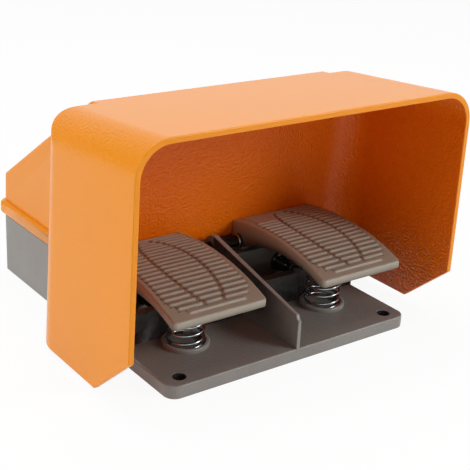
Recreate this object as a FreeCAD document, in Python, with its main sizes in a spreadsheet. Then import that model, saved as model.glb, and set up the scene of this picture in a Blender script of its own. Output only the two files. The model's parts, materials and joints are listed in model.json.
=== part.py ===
"""Double foot switch: two sprung pedals side by side under a cast guard, over a switch box.

X runs to the operator's right, Y away from the operator, Z up. Every sub-part is drawn from the
middle of the base plate's front edge at floor level, and placed half a base depth further forward,
so that the finished part has its origin at the centre of the base's underside. Lengths are in mm.
"""
import FreeCAD, Part
import math
import os
import re
import Sketcher

doc = FreeCAD.newDocument("double_foot_switch")
sheet = doc.addObject("Spreadsheet::Sheet", "sheet")
exported = []

# Every size that can be set by itself, in mm, apart from cover_lean in degrees
SIZES = {
    # Base casting
    "base_width": 200.0,  # width of the base and its box
    "base_depth": 231.0,  # depth of the base from its front edge to its back
    "plate_thick": 9.0,  # front plate's edge height
    "plate_skin": 4.5,  # plate's thickness over the recesses in its underside
    "recess_start": 22.0,  # front edge to the underside recesses
    "recess_margin": 8.0,  # plate's edge to the underside recesses
    "front_corner": 8.0,  # plan radius of the plate's front corners
    "rear_corner": 4.5,  # plan radius of the box's rear corners
    "edge_round": 1.2,  # rounding of the casting's outer edges
    "hole_radius": 4.5,  # mounting hole's radius
    "hole_spacing": 174.0,  # between the two mounting holes
    "hole_inset": 10.5,  # front edge to the mounting holes
    "casting_wall": 4.5,  # wall of the base's box
    "floor_thick": 5.0,  # floor of the base's box
    "rim_height": 44.5,  # top of the box's rim
    "front_wall_y": 97.0,  # front edge to the box's front wall
    "shelf_y": 112.0,  # front edge to the back of the shelf under the pedals' heels
    "shelf_height": 36.0,  # top of the shelf
    "divider_thick": 4.0,  # rib between the pedals
    "divider_front_height": 32.3,  # height of the rib at its front edge
    "divider_rear_height": 54.5,  # height of the rib at its rear end
    "divider_lobe": 8.0,  # shaft's axis to the rib's rear end
    "divider_corner": 4.0,  # rounding of the rib's two top corners
    "divider_crest": 4.0,  # shaft's axis to the end of the rib's straight top, in front of it
    "divider_drop": 0.8,  # shaft's axis to where the rib's rear end turns upright, below it
    "divider_turn": 12.5,  # arc of the rib's top round the shaft
    "wall_y": 59.0,  # front edge to the cross wall behind the springs
    "wall_thick": 7.0,  # cross wall's thickness
    "wall_height": 30.5,  # top of the cross wall
    "ear_thick": 3.5,  # ear that carries a shaft end
    "ear_radius": 8.6,  # rounded top of an ear

    # Pedals and their shaft
    "pedal_x": 59.0,  # middle of each pedal from the centre plane
    "pedal_width": 71.0,  # pedal's width
    "pedal_front": 7.0,  # front edge of the base to the pedal's lip
    "pedal_rear": 109.6,  # front edge of the base to the pedal's heel
    "lip_height": 49.6,  # top of the pedal's lip
    "lip_thick": 4.6,  # pedal's lip
    "lip_round": 1.4,  # rounding of the pedal's lip
    "heel_height": 57.7,  # top of the pedal at its heel
    "heel_bottom": 38.3,  # bottom of the pedal's heel
    "tread_radius": 180.0,  # radius of the pedal's crowned top, seen from the side
    "pedal_skin": 4.0,  # pedal's top and its skirts
    "skirt_break_y": 62.0,  # front edge of the base to where the skirt starts to deepen
    "skirt_break_z": 50.8,  # lower edge of the skirt there
    "skirt_hub_y": 97.8,  # front edge of the base to the front of the lobe round the shaft
    "skirt_hub_z": 39.8,  # lower edge of the skirt there
    "skirt_rear_radius": 92.0,  # arc of the skirt's lower edge between that and the lobe
    "skirt_radius": 94.0,  # arc of the skirt's lower edge in front of that
    "corner_plan": 3.5,  # plan radius of the pedal's front corners
    "shaft_y": 101.0,  # front edge to the shaft's axis
    "shaft_z": 44.8,  # height of the shaft's axis
    "shaft_radius": 4.0,  # shaft's radius
    "running_gap": 0.05,  # radial clearance of the shaft in its bushes and of the plunger
    "seat_gap": 0.02,  # radial clearance of a pressed or glued piece
    "bush_radius": 5.4,  # outside of the pedal's bushes
    "bush_length": 5.0,  # length of each bush and of the boss round it
    "hub_radius": 7.0,  # boss round each bush
    "washer_radius": 5.0,  # washer beside a pedal
    "washer_thick": 1.6,  # washer beside a pedal
    "clip_radius": 5.6,  # retaining clip on the shaft
    "clip_thick": 0.8,  # retaining clip on the shaft
    "axial_gap": 0.2,  # side clearance between the pieces on the shaft
    "shaft_end": 104.0,  # centre plane to the shaft's end
    "clip_groove_gap": 0.3,  # ear to the retaining clip outside it

    # Tread pattern
    "bar_pitch": 4.6,  # spacing of the tread's rows
    "bar_width": 2.6,  # width of a tread bar
    "bar_height": 1.0,  # height of a tread bar
    "bar_first": 5.6,  # lip to the first row
    "tread_half": 31.2,  # pedal's middle to the ends of the long rows
    "leaf_middle": 50.0,  # lip to the middle of the leaf in the tread
    "leaf_length": 46.0,  # half length of the leaf
    "leaf_half": 14.7,  # half width of the leaf
    "leaf_gap": 3.0,  # channel round the leaf
    "pad_start": 81.0,  # lip to the smooth pad at the left of the heel

    # Springs
    "spring_y": 45.2,  # front edge to the springs' axis
    "spring_radius": 12.8,  # outside radius of a spring
    "wire_radius": 0.95,  # spring wire's radius
    "wire_flats": 8,  # flat sides of the spring wire's section
    "spring_turns": 6.5,  # open turns between the two closed end turns
    "end_pitch": 2.5,  # rise of each closed end turn
    "seat_ring_radius": 16.2,  # outside of the ring that a spring stands in
    "seat_ring_gap": 0.4,  # spring to the ring
    "seat_ring_height": 3.0,  # height of the ring above the plate
    "spring_recess": 18.2,  # hollow in the cross wall round a spring
    "spring_top": 54.0,  # height of the pedal's pad on the spring
    "spigot_gap": 1.0,  # spring's inside to the spigot of the pedal
    "spigot_length": 3.0,  # spigot inside the spring

    # Switch mechanism
    "axis_z": 22.5,  # height of the plungers' axes
    "sleeve_radius": 5.3,  # threaded sleeve of a plunger
    "sleeve_front": 83.3,  # front edge to the sleeve's front end
    "flange_radius": 7.1,  # flange ring of the sleeve
    "flange_thick": 2.5,  # flange ring of the sleeve
    "nut_radius": 8.0,  # hexagon nut behind the wall, across its corners
    "nut_thick": 3.5,  # hexagon nut behind the wall
    "sleeve_tail": 7.0,  # sleeve beyond its nut
    "plunger_radius": 3.3,  # plunger's radius
    "plunger_tip": 77.6,  # front edge to the plunger's tip, released
    "tip_bevel": 0.8,  # bevel of the plunger's tip
    "arm_width": 10.0,  # pedal's arm that presses the plunger
    "arm_front": 71.0,  # front edge to the arm's front
    "arm_back": 75.2,  # front edge to the arm's back
    "arm_bottom": 18.0,  # bottom of the arm
    "stud_z": 24.5,  # height of the adjusting stud
    "stud_radius": 3.0,  # adjusting stud's shank
    "stud_head_radius": 4.9,  # adjusting stud's head
    "contact_gap": 0.3,  # stud's head to the plunger, released
    "locknut_thick": 2.6,  # lock nut on the adjusting stud
    "locknut_radius": 5.6,  # lock nut across its corners
    "switch_length": 48.0,  # snap switch along the plunger
    "switch_width": 20.0,  # snap switch across the plunger
    "switch_height": 30.0,  # snap switch's height
    "button_radius": 2.4,  # snap switch's button
    "button_depth": 7.0,  # button inside its switch
    "button_length": 5.6,  # button in front of its switch, released
    "plunger_travel": 4.1,  # travel of the plunger at the end of a pedal's stroke
    "bracket_thick": 2.0,  # steel plate under the switches
    "bracket_margin": 10.0,  # plate beyond the switches at each side
    "stop_offset": 12.0,  # pedal's middle to each of its stop bosses
    "stop_radius": 4.6,  # stop boss under the pedal
    "stop_bottom": 41.1,  # bottom of the stop bosses, released
    "bumper_radius": 3.2,  # rubber bumper on the cross wall
    "bumper_height": 3.0,  # bumper above the cross wall
    "bumper_stem": 4.0,  # bumper's stem in the cross wall
    "bumper_stem_radius": 1.6,  # bumper's stem in the cross wall
    "heel_pad_thick": 2.0,  # rubber pad under a pedal's heel
    "heel_pad_gap": 0.3,  # heel to its pad, released

    # Guard and cover
    "hood_front": 6.0,  # guard's front edge ahead of the base
    "hood_half_top": 131.6,  # guard's half width where its top would meet its sides
    "hood_half_bottom": 134.6,  # guard's half width at its lower edges
    "hood_height": 171.0,  # height of the guard's front edge
    "hood_fall": 0.083,  # fall of the guard's top per unit of depth
    "hood_clear": 3.5,  # guard's lower edges above the floor
    "hood_wall": 4.0,  # guard's wall
    "hood_round": 23.5,  # outside radius of the guard's long top edges
    "hood_rear_round": 13.0,  # outside radius of the guard's top rear edge
    "hood_back_top": 106.7,  # front edge to the guard's back wall at the height of its top
    "hood_back_bottom": 117.0,  # front edge to the guard's back wall at its lower edge
    "hood_corner_top": 23.5,  # upright corner's outside radius at the height of the top
    "hood_corner_bottom": 28.0,  # upright corner's outside radius at the lower edge
    "chamfer_depth": 38.8,  # chamfer of the guard's front lower corners, along Y
    "chamfer_rise": 34.0,  # chamfer of the guard's front lower corners, along Z
    "gasket_thick": 1.5,  # seal between the base and the cover
    "bead_out": 3.5,  # bead round the foot of the cover, beyond the box
    "bead_height": 10.5,  # height of the bead
    "bead_round": 3.4,  # rounding of the bead
    "ridge_y": 106.0,  # front edge to the ridge of the cover
    "ridge_sink": 0.6,  # fall of the cover's top below the guard's top, 60 mm in front of the ridge
    "eave_inset": 1.3,  # base's rear face to the foot of the cover's slope
    "eave_z": 76.6,  # height of the foot of the slope
    "cover_lean": 1.6,  # lean of the cover's sides, in degrees
    "cover_round": 2.0,  # rounding of the cover's sloping edges
    "ridge_round": 6.0,  # rounding of the cover's ridge
    "cavity_front": 115.0,  # front edge to the cover's hollow
    "screw_x": 89.0,  # centre plane to the cover's screws
    "screw_front_y": 123.5,  # front edge to the front cover screws
    "screw_rear_inset": 12.5,  # base's rear face to the rear cover screws
    "post_radius": 7.3,  # post round a cover screw
    "screw_radius": 2.5,  # cover screw's shank
    "screw_head_radius": 4.4,  # cover screw's head
    "screw_head": 4.0,  # height of the cover screw's head
    "counterbore": 6.0,  # depth of the counterbore in the base
    "screw_bite": 11.0,  # cover screw's thread in the cover
    "hole_gap": 0.3,  # radial clearance of a screw in a plain hole

    # Cable inlet and connections
    "gland_z": 24.0,  # height of the cable gland's axis
    "gland_radius": 9.8,  # gland's thread in the rear wall
    "gland_hex": 14.0,  # gland's hexagon across its corners
    "gland_hex_thick": 6.0,  # gland's hexagon
    "gland_neck": 8.0,  # gland's thread under its cap
    "gland_cap_radius": 12.5,  # gland's cap
    "gland_cap_length": 15.0,  # gland's cap
    "gland_bore": 5.0,  # cable hole of the gland
    "seal_radius": 7.0,  # gland's rubber seal
    "seal_length": 8.0,  # gland's rubber seal
    "gland_tail": 7.0,  # gland's thread inside the box
    "gland_nut_thick": 4.0,  # gland's nut inside the box
    "block_width": 76.0,  # terminal block
    "block_depth": 17.0,  # terminal block
    "block_height": 15.0,  # terminal block
    "block_inset": 45.0,  # base's rear face to the terminal block's front
    "block_ways": 8,  # clamping screws of the terminal block
    "earth_x": 62.0,  # centre plane to the earth screw
    "earth_inset": 25.0,  # base's rear face to the earth screw
    "boss_height": 4.0,  # bosses on the box's floor
}

for row, (name, number) in enumerate(SIZES.items(), 1):
    sheet.set("A%d" % row, name)
    sheet.set("B%d" % row, repr(number))
    sheet.setAlias("B%d" % row, name)
doc.recompute()
WORD = re.compile(r"[a-z][a-z0-9_]*")


def bound(text):
    """The expression with each of the sheet's names written as a reference to its cell."""
    return WORD.sub(lambda m: "sheet." + m.group() if m.group() in SIZES else m.group(), str(text))


def value(text):
    """What an expression over the sheet's names comes to."""
    result = sheet.evalExpression(bound(text))
    return float(getattr(result, "Value", result))


def bind(item, **expressions):
    """Tie an object's properties to expressions over the sheet's names."""
    for prop, text in expressions.items():
        item.setExpression(prop.replace("__", "."), bound(text))
    return item


def place(item, x="0", y="0", z="0"):
    """Tie an object's position to expressions."""
    return bind(item, Placement__Base__x=x, Placement__Base__y=y, Placement__Base__z=z)


def box(name, x0, x1, y0, y1, z0, z1):
    """A box between two corners."""
    item = doc.addObject("Part::Box", name)
    bind(item, Length="(%s) - (%s)" % (x1, x0), Width="(%s) - (%s)" % (y1, y0), Height="(%s) - (%s)" % (z1, z0))
    return place(item, x0, y0, z0)


TURNS = {
    "x": FreeCAD.Rotation(FreeCAD.Vector(0, 1, 0), 90),
    "y": FreeCAD.Rotation(FreeCAD.Vector(1, 0, 0), -90),
    "z": FreeCAD.Rotation(),
}


def rod(name, axis, x, y, z, radius, length, sides=0):
    """A cylinder, or a prism with flat sides, that runs from a point along an axis."""
    item = doc.addObject("Part::Prism" if sides else "Part::Cylinder", name)
    item.Placement.Rotation = TURNS[axis]
    if sides:
        item.Polygon = sides
        bind(item, Circumradius=radius, Height=length)
    else:
        bind(item, Radius=radius, Height=length)
    return place(item, x, y, z)


def fuse(name, *items):
    item = doc.addObject("Part::MultiFuse", name)
    item.Shapes = list(items)
    return item


def common(name, *items):
    item = doc.addObject("Part::MultiCommon", name)
    item.Shapes = list(items)
    return item


def cut(name, base, *tools):
    item = doc.addObject("Part::Cut", name)
    item.Base = base
    item.Tool = tools[0] if len(tools) == 1 else fuse(name + "_tools", *tools)
    return item


def group(name, *items):
    """Separate solids that share one sub-part."""
    item = doc.addObject("Part::Compound", name)
    item.Links = list(items)
    return item


def sub_part(item, label):
    """Name a finished sub-part and bring it to the part's own frame."""
    doc.recompute()
    item.Label = label
    bind(item, Placement__Base__y="-base_depth / 2")
    exported.append(item)
    return item


def body(name):
    return doc.addObject("PartDesign::Body", name)


def plane(owner, role):
    return next(f for f in owner.Origin.OriginFeatures if f.Role == role)


def outline(owner, name, role, points, arcs=(), offset="0"):
    """A closed sketch through named points; arcs maps an edge to (radius, side), side +1 for a bulge
    to the left of the direction of travel and -1 for one to the right."""
    sketch = owner.newObject("Sketcher::SketchObject", name)
    sketch.AttachmentSupport = [(plane(owner, role), "")]
    sketch.MapMode = "FlatFace"
    bind(sketch, AttachmentOffset__Base__z=offset)
    arcs = dict(arcs)
    spots = [FreeCAD.Vector(value(px), value(py), 0) for px, py in points]
    ends = []
    for i, start in enumerate(spots):
        stop = spots[(i + 1) % len(spots)]
        if i not in arcs:
            sketch.addGeometry(Part.LineSegment(start, stop), False)
            ends.append((1, 2))
            continue
        radius, side = value(arcs[i][0]), arcs[i][1]
        chord = stop - start
        across = FreeCAD.Vector(-chord.y, chord.x, 0).normalize() * side
        sag = radius - math.sqrt(max(radius * radius - chord.Length ** 2 / 4, 0))
        middle = (start + stop) * 0.5 + across * sag
        sketch.addGeometry(Part.Arc(start, middle, stop), False)
        ends.append((2, 1) if side > 0 else (1, 2))
    for i, (px, py) in enumerate(points):
        follower = (i + 1) % len(points)
        sketch.addConstraint(Sketcher.Constraint("Coincident", i, ends[i][1], follower, ends[follower][0]))
        for kind, text in (("DistanceX", px), ("DistanceY", py)):
            number = sketch.addConstraint(Sketcher.Constraint(kind, -1, 1, i, ends[i][0], value(text)))
            sketch.setExpression("Constraints[%d]" % number, bound(text))
        if i in arcs:
            number = sketch.addConstraint(Sketcher.Constraint("Radius", i, value(arcs[i][0])))
            sketch.setExpression("Constraints[%d]" % number, bound(arcs[i][0]))
    return sketch


def pad(owner, name, sketch, length, symmetric=False, backwards=False):
    item = owner.newObject("PartDesign::Pad", name)
    item.Profile = sketch
    bind(item, Length=length)
    item.Midplane = symmetric
    item.Reversed = backwards
    return item


def pocket(owner, name, sketch, length, symmetric=False, backwards=False):
    item = owner.newObject("PartDesign::Pocket", name)
    item.Profile = sketch
    bind(item, Length=length)
    item.Midplane = symmetric
    item.Reversed = backwards
    return item


def side_prism(name, points, width, arcs=()):
    """A solid with a side view drawn in Y and Z, centred on the plane X = 0."""
    owner = body(name)
    pad(owner, name + "_pad", outline(owner, name + "_side", "YZ_Plane", points, arcs), width, symmetric=True)
    return owner


def rounded(owner, name, radius, wanted):
    """Round the edges of a body's last solid for which wanted(edge) is true."""
    doc.recompute()
    tip = owner.Tip
    names = ["Edge%d" % (i + 1) for i, edge in enumerate(tip.Shape.Edges) if wanted(edge)]
    item = owner.newObject("PartDesign::Fillet", name)
    item.Base = (tip, names)
    bind(item, Radius=radius)
    return item


def near(a, b):
    return abs(a - b) < 0.01


def plan_rectangle(owner, name, half, y0, y1, front_radius, rear_radius, offset):
    """A plan outline between x = -half and half, with rounded corners where a radius is given."""
    points, arcs = [], {}

    def corner(x_side, y, radius, first_along_x, inward):
        x = "%s(%s)" % (x_side, half)
        shorter = "%s((%s) - (%s))" % (x_side, half, radius)
        moved = "(%s) %s (%s)" % (y, inward, radius)
        pair = [(shorter, y), (x, moved)] if first_along_x else [(x, moved), (shorter, y)]
        arcs[len(points)] = (radius, -1)
        points.extend(pair)

    if front_radius:
        corner("", y0, front_radius, True, "+")
    else:
        points.append((half, y0))
    corner("", y1, rear_radius, False, "-")
    corner("-", y1, rear_radius, True, "-")
    if front_radius:
        corner("-", y0, front_radius, False, "+")
    else:
        points.append(("-(%s)" % half, y0))
    return outline(owner, name, "XY_Plane", points, arcs, offset)


def base_casting():
    """Plate, box, divider rib, cross wall, ears and spring seats, in one aluminium casting."""
    half = "base_width / 2"
    plate = body("plate")
    drawing = plan_rectangle(plate, "plate_plan", half, "0", "base_depth", "front_corner", "rear_corner", "0")
    pad(plate, "plate_pad", drawing, "plate_thick")
    rounded(plate, "plate_edges", "edge_round",
            lambda e: near(e.BoundBox.ZMin, SIZES["plate_thick"]) and e.BoundBox.YMax < SIZES["shelf_y"]
            and (e.BoundBox.YMin < SIZES["front_corner"] + 0.1 or near(e.BoundBox.XLength, 0)))
    box_body = body("box_walls")
    drawing = plan_rectangle(box_body, "box_plan", half, "shelf_y", "base_depth", None, "rear_corner", "0")
    pad(box_body, "box_pad", drawing, "rim_height")
    shelf = box("shelf", "-" + half, half, "front_wall_y", "shelf_y + 1", "0", "shelf_height")
    curbs = [box("curb_%d" % s, x0, x1, "wall_y", "front_wall_y + 1", "0", "wall_height")
             for s, x0, x1 in ((0, "-" + half, "-%s + casting_wall" % half), (1, "%s - casting_wall" % half, half))]
    cross_wall = box("cross_wall", "-%s + 1" % half, "%s - 1" % half, "wall_y", "wall_y + wall_thick",
                     "plate_skin", "wall_height")
    divider = side_prism("divider", [
        ("0", "plate_skin"),
        ("shaft_y + divider_lobe", "plate_skin"),
        ("shaft_y + divider_lobe", "shaft_z - divider_drop"),
        ("shaft_y - divider_crest", "divider_rear_height"),
        ("divider_corner * 0.7", "divider_front_height + 0.5"),
        ("0", "divider_front_height - divider_corner * 0.8")], "divider_thick",
        {2: ("divider_turn", -1), 4: ("divider_corner * 1.1", 1)})
    ears = []
    for i, x in enumerate(("-%s" % half, "%s - ear_thick" % half)):
        ears.append(box("ear_%d" % i, x, "(%s) + ear_thick" % x, "shaft_y - ear_radius", "shaft_y + ear_radius",
                        "0", "shaft_z"))
        ears.append(rod("ear_top_%d" % i, "x", x, "shaft_y", "shaft_z", "ear_radius", "ear_thick"))
    rings = [rod("seat_ring_%d" % i, "z", x, "spring_y", "plate_skin", "seat_ring_radius",
                 "plate_thick - plate_skin + seat_ring_height") for i, x in enumerate(("-pedal_x", "pedal_x"))]
    hollows = [rod("hollow_%d" % i, "z", x, "spring_y", "plate_thick", "spring_recess", "wall_height")
               for i, x in enumerate(("-pedal_x", "pedal_x"))]
    solid = cut("base_walls", fuse("base_blocks", plate, box_body, shelf, cross_wall, *curbs), *hollows)
    solid = fuse("base_with_rings", solid, divider, *ears, *rings)

    cavity = side_prism("box_cavity", [
        ("front_wall_y + casting_wall", "floor_thick"),
        ("base_depth - casting_wall", "floor_thick"),
        ("base_depth - casting_wall", "rim_height + 5"),
        ("shelf_y + casting_wall", "rim_height + 5"),
        ("shelf_y + casting_wall", "shelf_height - casting_wall"),
        ("front_wall_y + casting_wall", "shelf_height - casting_wall")], "base_width - 2 * casting_wall")
    holes = [cavity]
    for i, side in enumerate(("-", "")):
        holes.append(rod("mount_hole_%d" % i, "z", side + "hole_spacing / 2", "hole_inset", "-1",
                         "hole_radius", "plate_thick + 2"))
        holes.append(rod("seat_%d" % i, "z", side + "pedal_x", "spring_y", "plate_thick",
                         "spring_radius + seat_ring_gap", "wall_height"))
        holes.append(rod("sleeve_hole_%d" % i, "y", side + "pedal_x", "front_wall_y - 1", "axis_z",
                         "sleeve_radius + seat_gap", "casting_wall + 2"))
        x0, x1 = ("-%s + recess_margin" % half, "-divider_thick") if side else ("divider_thick", "%s - recess_margin" % half)
        holes.append(box("recess_%d" % i, x0, x1, "recess_start", "front_wall_y - casting_wall",
                         "-1", "plate_thick - plate_skin"))
        for k, shift in enumerate(("-stop_offset", "stop_offset")):
            holes.append(rod("bumper_hole_%d%d" % (i, k), "z", "%spedal_x + (%s)" % (side, shift),
                             "wall_y + wall_thick / 2", "wall_height - bumper_stem",
                             "bumper_stem_radius + seat_gap", "bumper_stem + 1"))
    holes.append(rod("shaft_bore", "x", "-%s - 1" % half, "shaft_y", "shaft_z", "shaft_radius + seat_gap",
                     "base_width + 2"))
    holes.append(rod("gland_hole", "y", "0", "base_depth - casting_wall - 1", "gland_z",
                     "gland_radius + hole_gap", "casting_wall + 2"))
    solid = cut("base_hollowed", solid, *holes)

    posts, bores = [], []
    for i, (x, y) in enumerate(cover_screw_places()):
        posts.append(rod("base_post_%d" % i, "z", x, y, "0", "post_radius", "rim_height"))
        bores.append(rod("base_post_bore_%d" % i, "z", x, y, "-1", "screw_radius + hole_gap", "rim_height + 2"))
        bores.append(rod("base_counterbore_%d" % i, "z", x, y, "-1", "screw_head_radius + hole_gap", "counterbore + 1"))
    earth_boss = rod("earth_boss", "z", "earth_x", "base_depth - earth_inset", "floor_thick - 1", "5", "boss_height + 1")
    bores.append(rod("earth_tap", "z", "earth_x", "base_depth - earth_inset", "floor_thick", "2 + seat_gap", "boss_height + 1"))
    solid = cut("base_casting_solid", fuse("base_with_posts", solid, earth_boss, *posts), *bores)
    sub_part(solid, "base_casting")


def cover_screw_places():
    return [(x, y) for x in ("-screw_x", "screw_x") for y in ("screw_front_y", "base_depth - screw_rear_inset")]


def hood_block(name, inset, front):
    """The guard's outside, or its inside when inset by the wall: a tapered channel with rounded top
    edges, met by a leaning back wall with rounded upright corners."""
    low = "hood_clear" if inset == "0" else "-5"
    top = "hood_height - (%s)" % inset
    lean = "(hood_half_bottom - hood_half_top) / (hood_height - hood_clear)"
    low_half = "hood_half_bottom - (%s) + (hood_clear - (%s)) * %s" % (inset, low, lean)
    top_half = "hood_half_top - (%s)" % inset
    reach = "hood_back_bottom + 20"
    channel = body(name + "_channel")
    drawing = outline(channel, name + "_front_view", "XZ_Plane", [
        ("-(%s)" % low_half, low), (low_half, low), (top_half, "hood_height"), ("-(%s)" % top_half, "hood_height")],
        offset=front)
    pad(channel, name + "_channel_pad", drawing, "(%s) + (%s)" % (reach, front), backwards=True)
    slope = outline(channel, name + "_top_view", "YZ_Plane", [
        ("-hood_front", top), ("%s + 5" % reach, "(%s) - hood_fall * (%s + 5 + hood_front)" % (top, reach)),
        ("%s + 5" % reach, "hood_height + 10"), ("-hood_front - 60", "hood_height + 10"),
        ("-hood_front - 60", "(%s) + hood_fall * 60" % top)])
    pocket(channel, name + "_top_cut", slope, "hood_half_bottom * 3", symmetric=True)
    limit = value("hood_height - (%s)" % inset) - 15
    rounded(channel, name + "_top_rounding", "hood_round - (%s)" % inset,
            lambda e: e.BoundBox.YLength > 60 and e.BoundBox.ZMin > limit)

    plans = body(name + "_plan_block")
    sections = []
    for end, z, back, corner in (("low", low, "hood_back_bottom", "hood_corner_bottom"),
                                 ("high", "hood_height + 4", "hood_back_top", "hood_corner_top")):
        share = "((%s) - hood_clear) / (hood_height - hood_clear)" % z
        half = "hood_half_bottom - (hood_half_bottom - hood_half_top) * %s - (%s)" % (share, inset)
        deep = "hood_back_bottom - (hood_back_bottom - hood_back_top) * %s - (%s)" % (share, inset)
        turn = "hood_corner_bottom - (hood_corner_bottom - hood_corner_top) * %s - (%s)" % (share, inset)
        sections.append(plan_rectangle(plans, "%s_plan_%s" % (name, end), half, "-hood_front - 40", deep, None, turn, z))
    loft = plans.newObject("PartDesign::AdditiveLoft", name + "_plan_loft")
    loft.Profile = sections[0]
    loft.Sections = [sections[1]]
    loft.Ruled = True
    pocket(plans, name + "_plan_cut", outline(plans, name + "_plan_slope", "YZ_Plane", [
        ("-hood_front - 60", "(%s) + hood_fall * 60" % top), ("%s + 5" % reach, "(%s) - hood_fall * (%s + 5 + hood_front)" % (top, reach)),
        ("%s + 5" % reach, "hood_height + 20"), ("-hood_front - 60", "hood_height + 20")]),
        "hood_half_bottom * 3", symmetric=True)
    rounded(plans, name + "_rear_rounding", "hood_rear_round - (%s)" % inset,
            lambda e: e.BoundBox.ZMin > limit and e.BoundBox.YMax > SIZES["hood_front"])
    return common(name, channel, plans)


def hood_cover():
    """Guard and switch cover, one casting: channel over the pedals, sloping cover with a bead behind."""
    half = "base_width / 2"
    foot = "rim_height + gasket_thick"
    outside = hood_block("hood_outside", "0", "hood_front")
    inside = hood_block("hood_inside", "hood_wall", "hood_front + 20")
    ridge = "(hood_height - hood_fall * (hood_front + ridge_y))"
    rise = "(%s - eave_z) / (base_depth - eave_inset - ridge_y)" % ridge

    roof = body("cover_outside")
    drawing = plan_rectangle(roof, "cover_plan", half, "hood_back_top - 16", "base_depth", None, "rear_corner", foot)
    walls = pad(roof, "cover_walls", drawing, "hood_height - (%s)" % foot)
    bind(walls, TaperAngle="-cover_lean")
    above = outline(roof, "roof_line", "YZ_Plane", [
        ("ridge_y - 60", "%s + hood_fall * 60 - ridge_sink" % ridge), ("ridge_y", ridge),
        ("base_depth + 5", "%s - %s * (base_depth + 5 - ridge_y)" % (ridge, rise)),
        ("base_depth + 5", "hood_height + 10"), ("ridge_y - 60", "hood_height + 10")])
    pocket(roof, "roof_cut", above, "base_width * 2", symmetric=True)
    rounded(roof, "ridge_edge", "ridge_round",
            lambda e: near(e.BoundBox.YMin, SIZES["ridge_y"]) and near(e.BoundBox.YMax, SIZES["ridge_y"]) and e.BoundBox.ZLength < 1)
    rounded(roof, "roof_edges", "cover_round",
            lambda e: e.BoundBox.ZMax > SIZES["eave_z"] - 12 and e.BoundBox.ZMin > SIZES["rim_height"] + 5
            and e.BoundBox.YMax > SIZES["ridge_y"] + 15 and e.BoundBox.YLength + e.BoundBox.XLength > 1)

    bead = body("cover_bead")
    drawing = plan_rectangle(bead, "bead_plan", "%s + bead_out" % half, "hood_back_top", "base_depth + bead_out",
                             None, "rear_corner + bead_out", foot)
    pad(bead, "bead_pad", drawing, "bead_height")
    rounded(bead, "bead_edges", "bead_round",
            lambda e: near(e.BoundBox.ZLength, 0) and e.BoundBox.YMax > SIZES["hood_back_top"] + 1)

    room = side_prism("cover_room", [
        ("cavity_front", "%s - 5" % foot), ("base_depth - hood_wall", "%s - 5" % foot),
        ("base_depth - hood_wall", "eave_z - hood_wall * 1.7"),
        ("ridge_y + hood_wall", "%s - %s * hood_wall * 2.8" % (ridge, rise)),
        ("cavity_front", "%s - 50" % ridge)], "base_width - 2 * hood_wall - 1.5")
    underneath = box("base_clearance", "-%s - 1" % half, "%s + 1" % half, "hood_back_top - 30", "base_depth + 30",
                     "-10", foot)
    corner = side_prism("front_chamfer", [
        ("-hood_front - 1", "-5"), ("chamfer_depth - hood_front + 10", "-5"),
        ("chamfer_depth - hood_front", "hood_clear"), ("-hood_front", "hood_clear + chamfer_rise"),
        ("-hood_front - 1", "hood_clear + chamfer_rise")], "hood_half_bottom * 3")
    shell = cut("hood_shell", fuse("hood_and_cover", outside, roof, bead), inside, room, underneath, corner)

    posts, bores = [], []
    for i, (x, y) in enumerate(cover_screw_places()):
        posts.append(rod("cover_post_%d" % i, "z", x, y, foot, "post_radius + 0.5", "screw_bite + 6"))
        bores.append(rod("cover_tap_%d" % i, "z", x, y, "%s - 1" % foot, "screw_radius + seat_gap", "screw_bite + 3"))
    solid = cut("hood_cover_solid", fuse("hood_with_posts", shell, *posts), *bores)
    sub_part(solid, "hood_cover")


def gasket():
    half = "base_width / 2"
    ring = body("gasket_ring")
    drawing = plan_rectangle(ring, "gasket_plan", half, "shelf_y", "base_depth", None, "rear_corner", "rim_height")
    pad(ring, "gasket_pad", drawing, "gasket_thick")
    opening = box("gasket_opening", "-%s + casting_wall" % half, "%s - casting_wall" % half,
                  "shelf_y + casting_wall", "base_depth - casting_wall", "rim_height - 1", "rim_height + 5")
    pads = [rod("gasket_pad_%d" % i, "z", x, y, "rim_height", "post_radius", "gasket_thick")
            for i, (x, y) in enumerate(cover_screw_places())]
    bores = [rod("gasket_bore_%d" % i, "z", x, y, "rim_height - 1", "screw_radius + hole_gap", "gasket_thick + 2")
             for i, (x, y) in enumerate(cover_screw_places())]
    solid = cut("gasket_solid", fuse("gasket_with_pads", cut("gasket_frame", ring, opening), *pads), *bores)
    sub_part(solid, "cover_gasket")


def screw(name, axis, x, y, z, head_radius, head, shank_radius, shank):
    """A cheese-head screw whose head starts at the given point and whose shank follows it."""
    step = {"x": (1, 0, 0), "y": (0, 1, 0), "z": (0, 0, 1)}[axis]
    start = ["(%s) + %d * (%s)" % (c, s, head) for c, s in zip((x, y, z), step)]
    return fuse(name, rod(name + "_head", axis, x, y, z, head_radius, head),
                rod(name + "_shank", axis, *start, shank_radius, shank))


def cover_screws():
    seat = "counterbore - screw_head"
    reach = "rim_height + gasket_thick + screw_bite - counterbore"
    screws = [screw("cover_screw_%d" % i, "z", x, y, seat, "screw_head_radius", "screw_head", "screw_radius", reach)
              for i, (x, y) in enumerate(cover_screw_places())]
    sub_part(group("cover_screw_group", *screws), "cover_screws")


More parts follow.
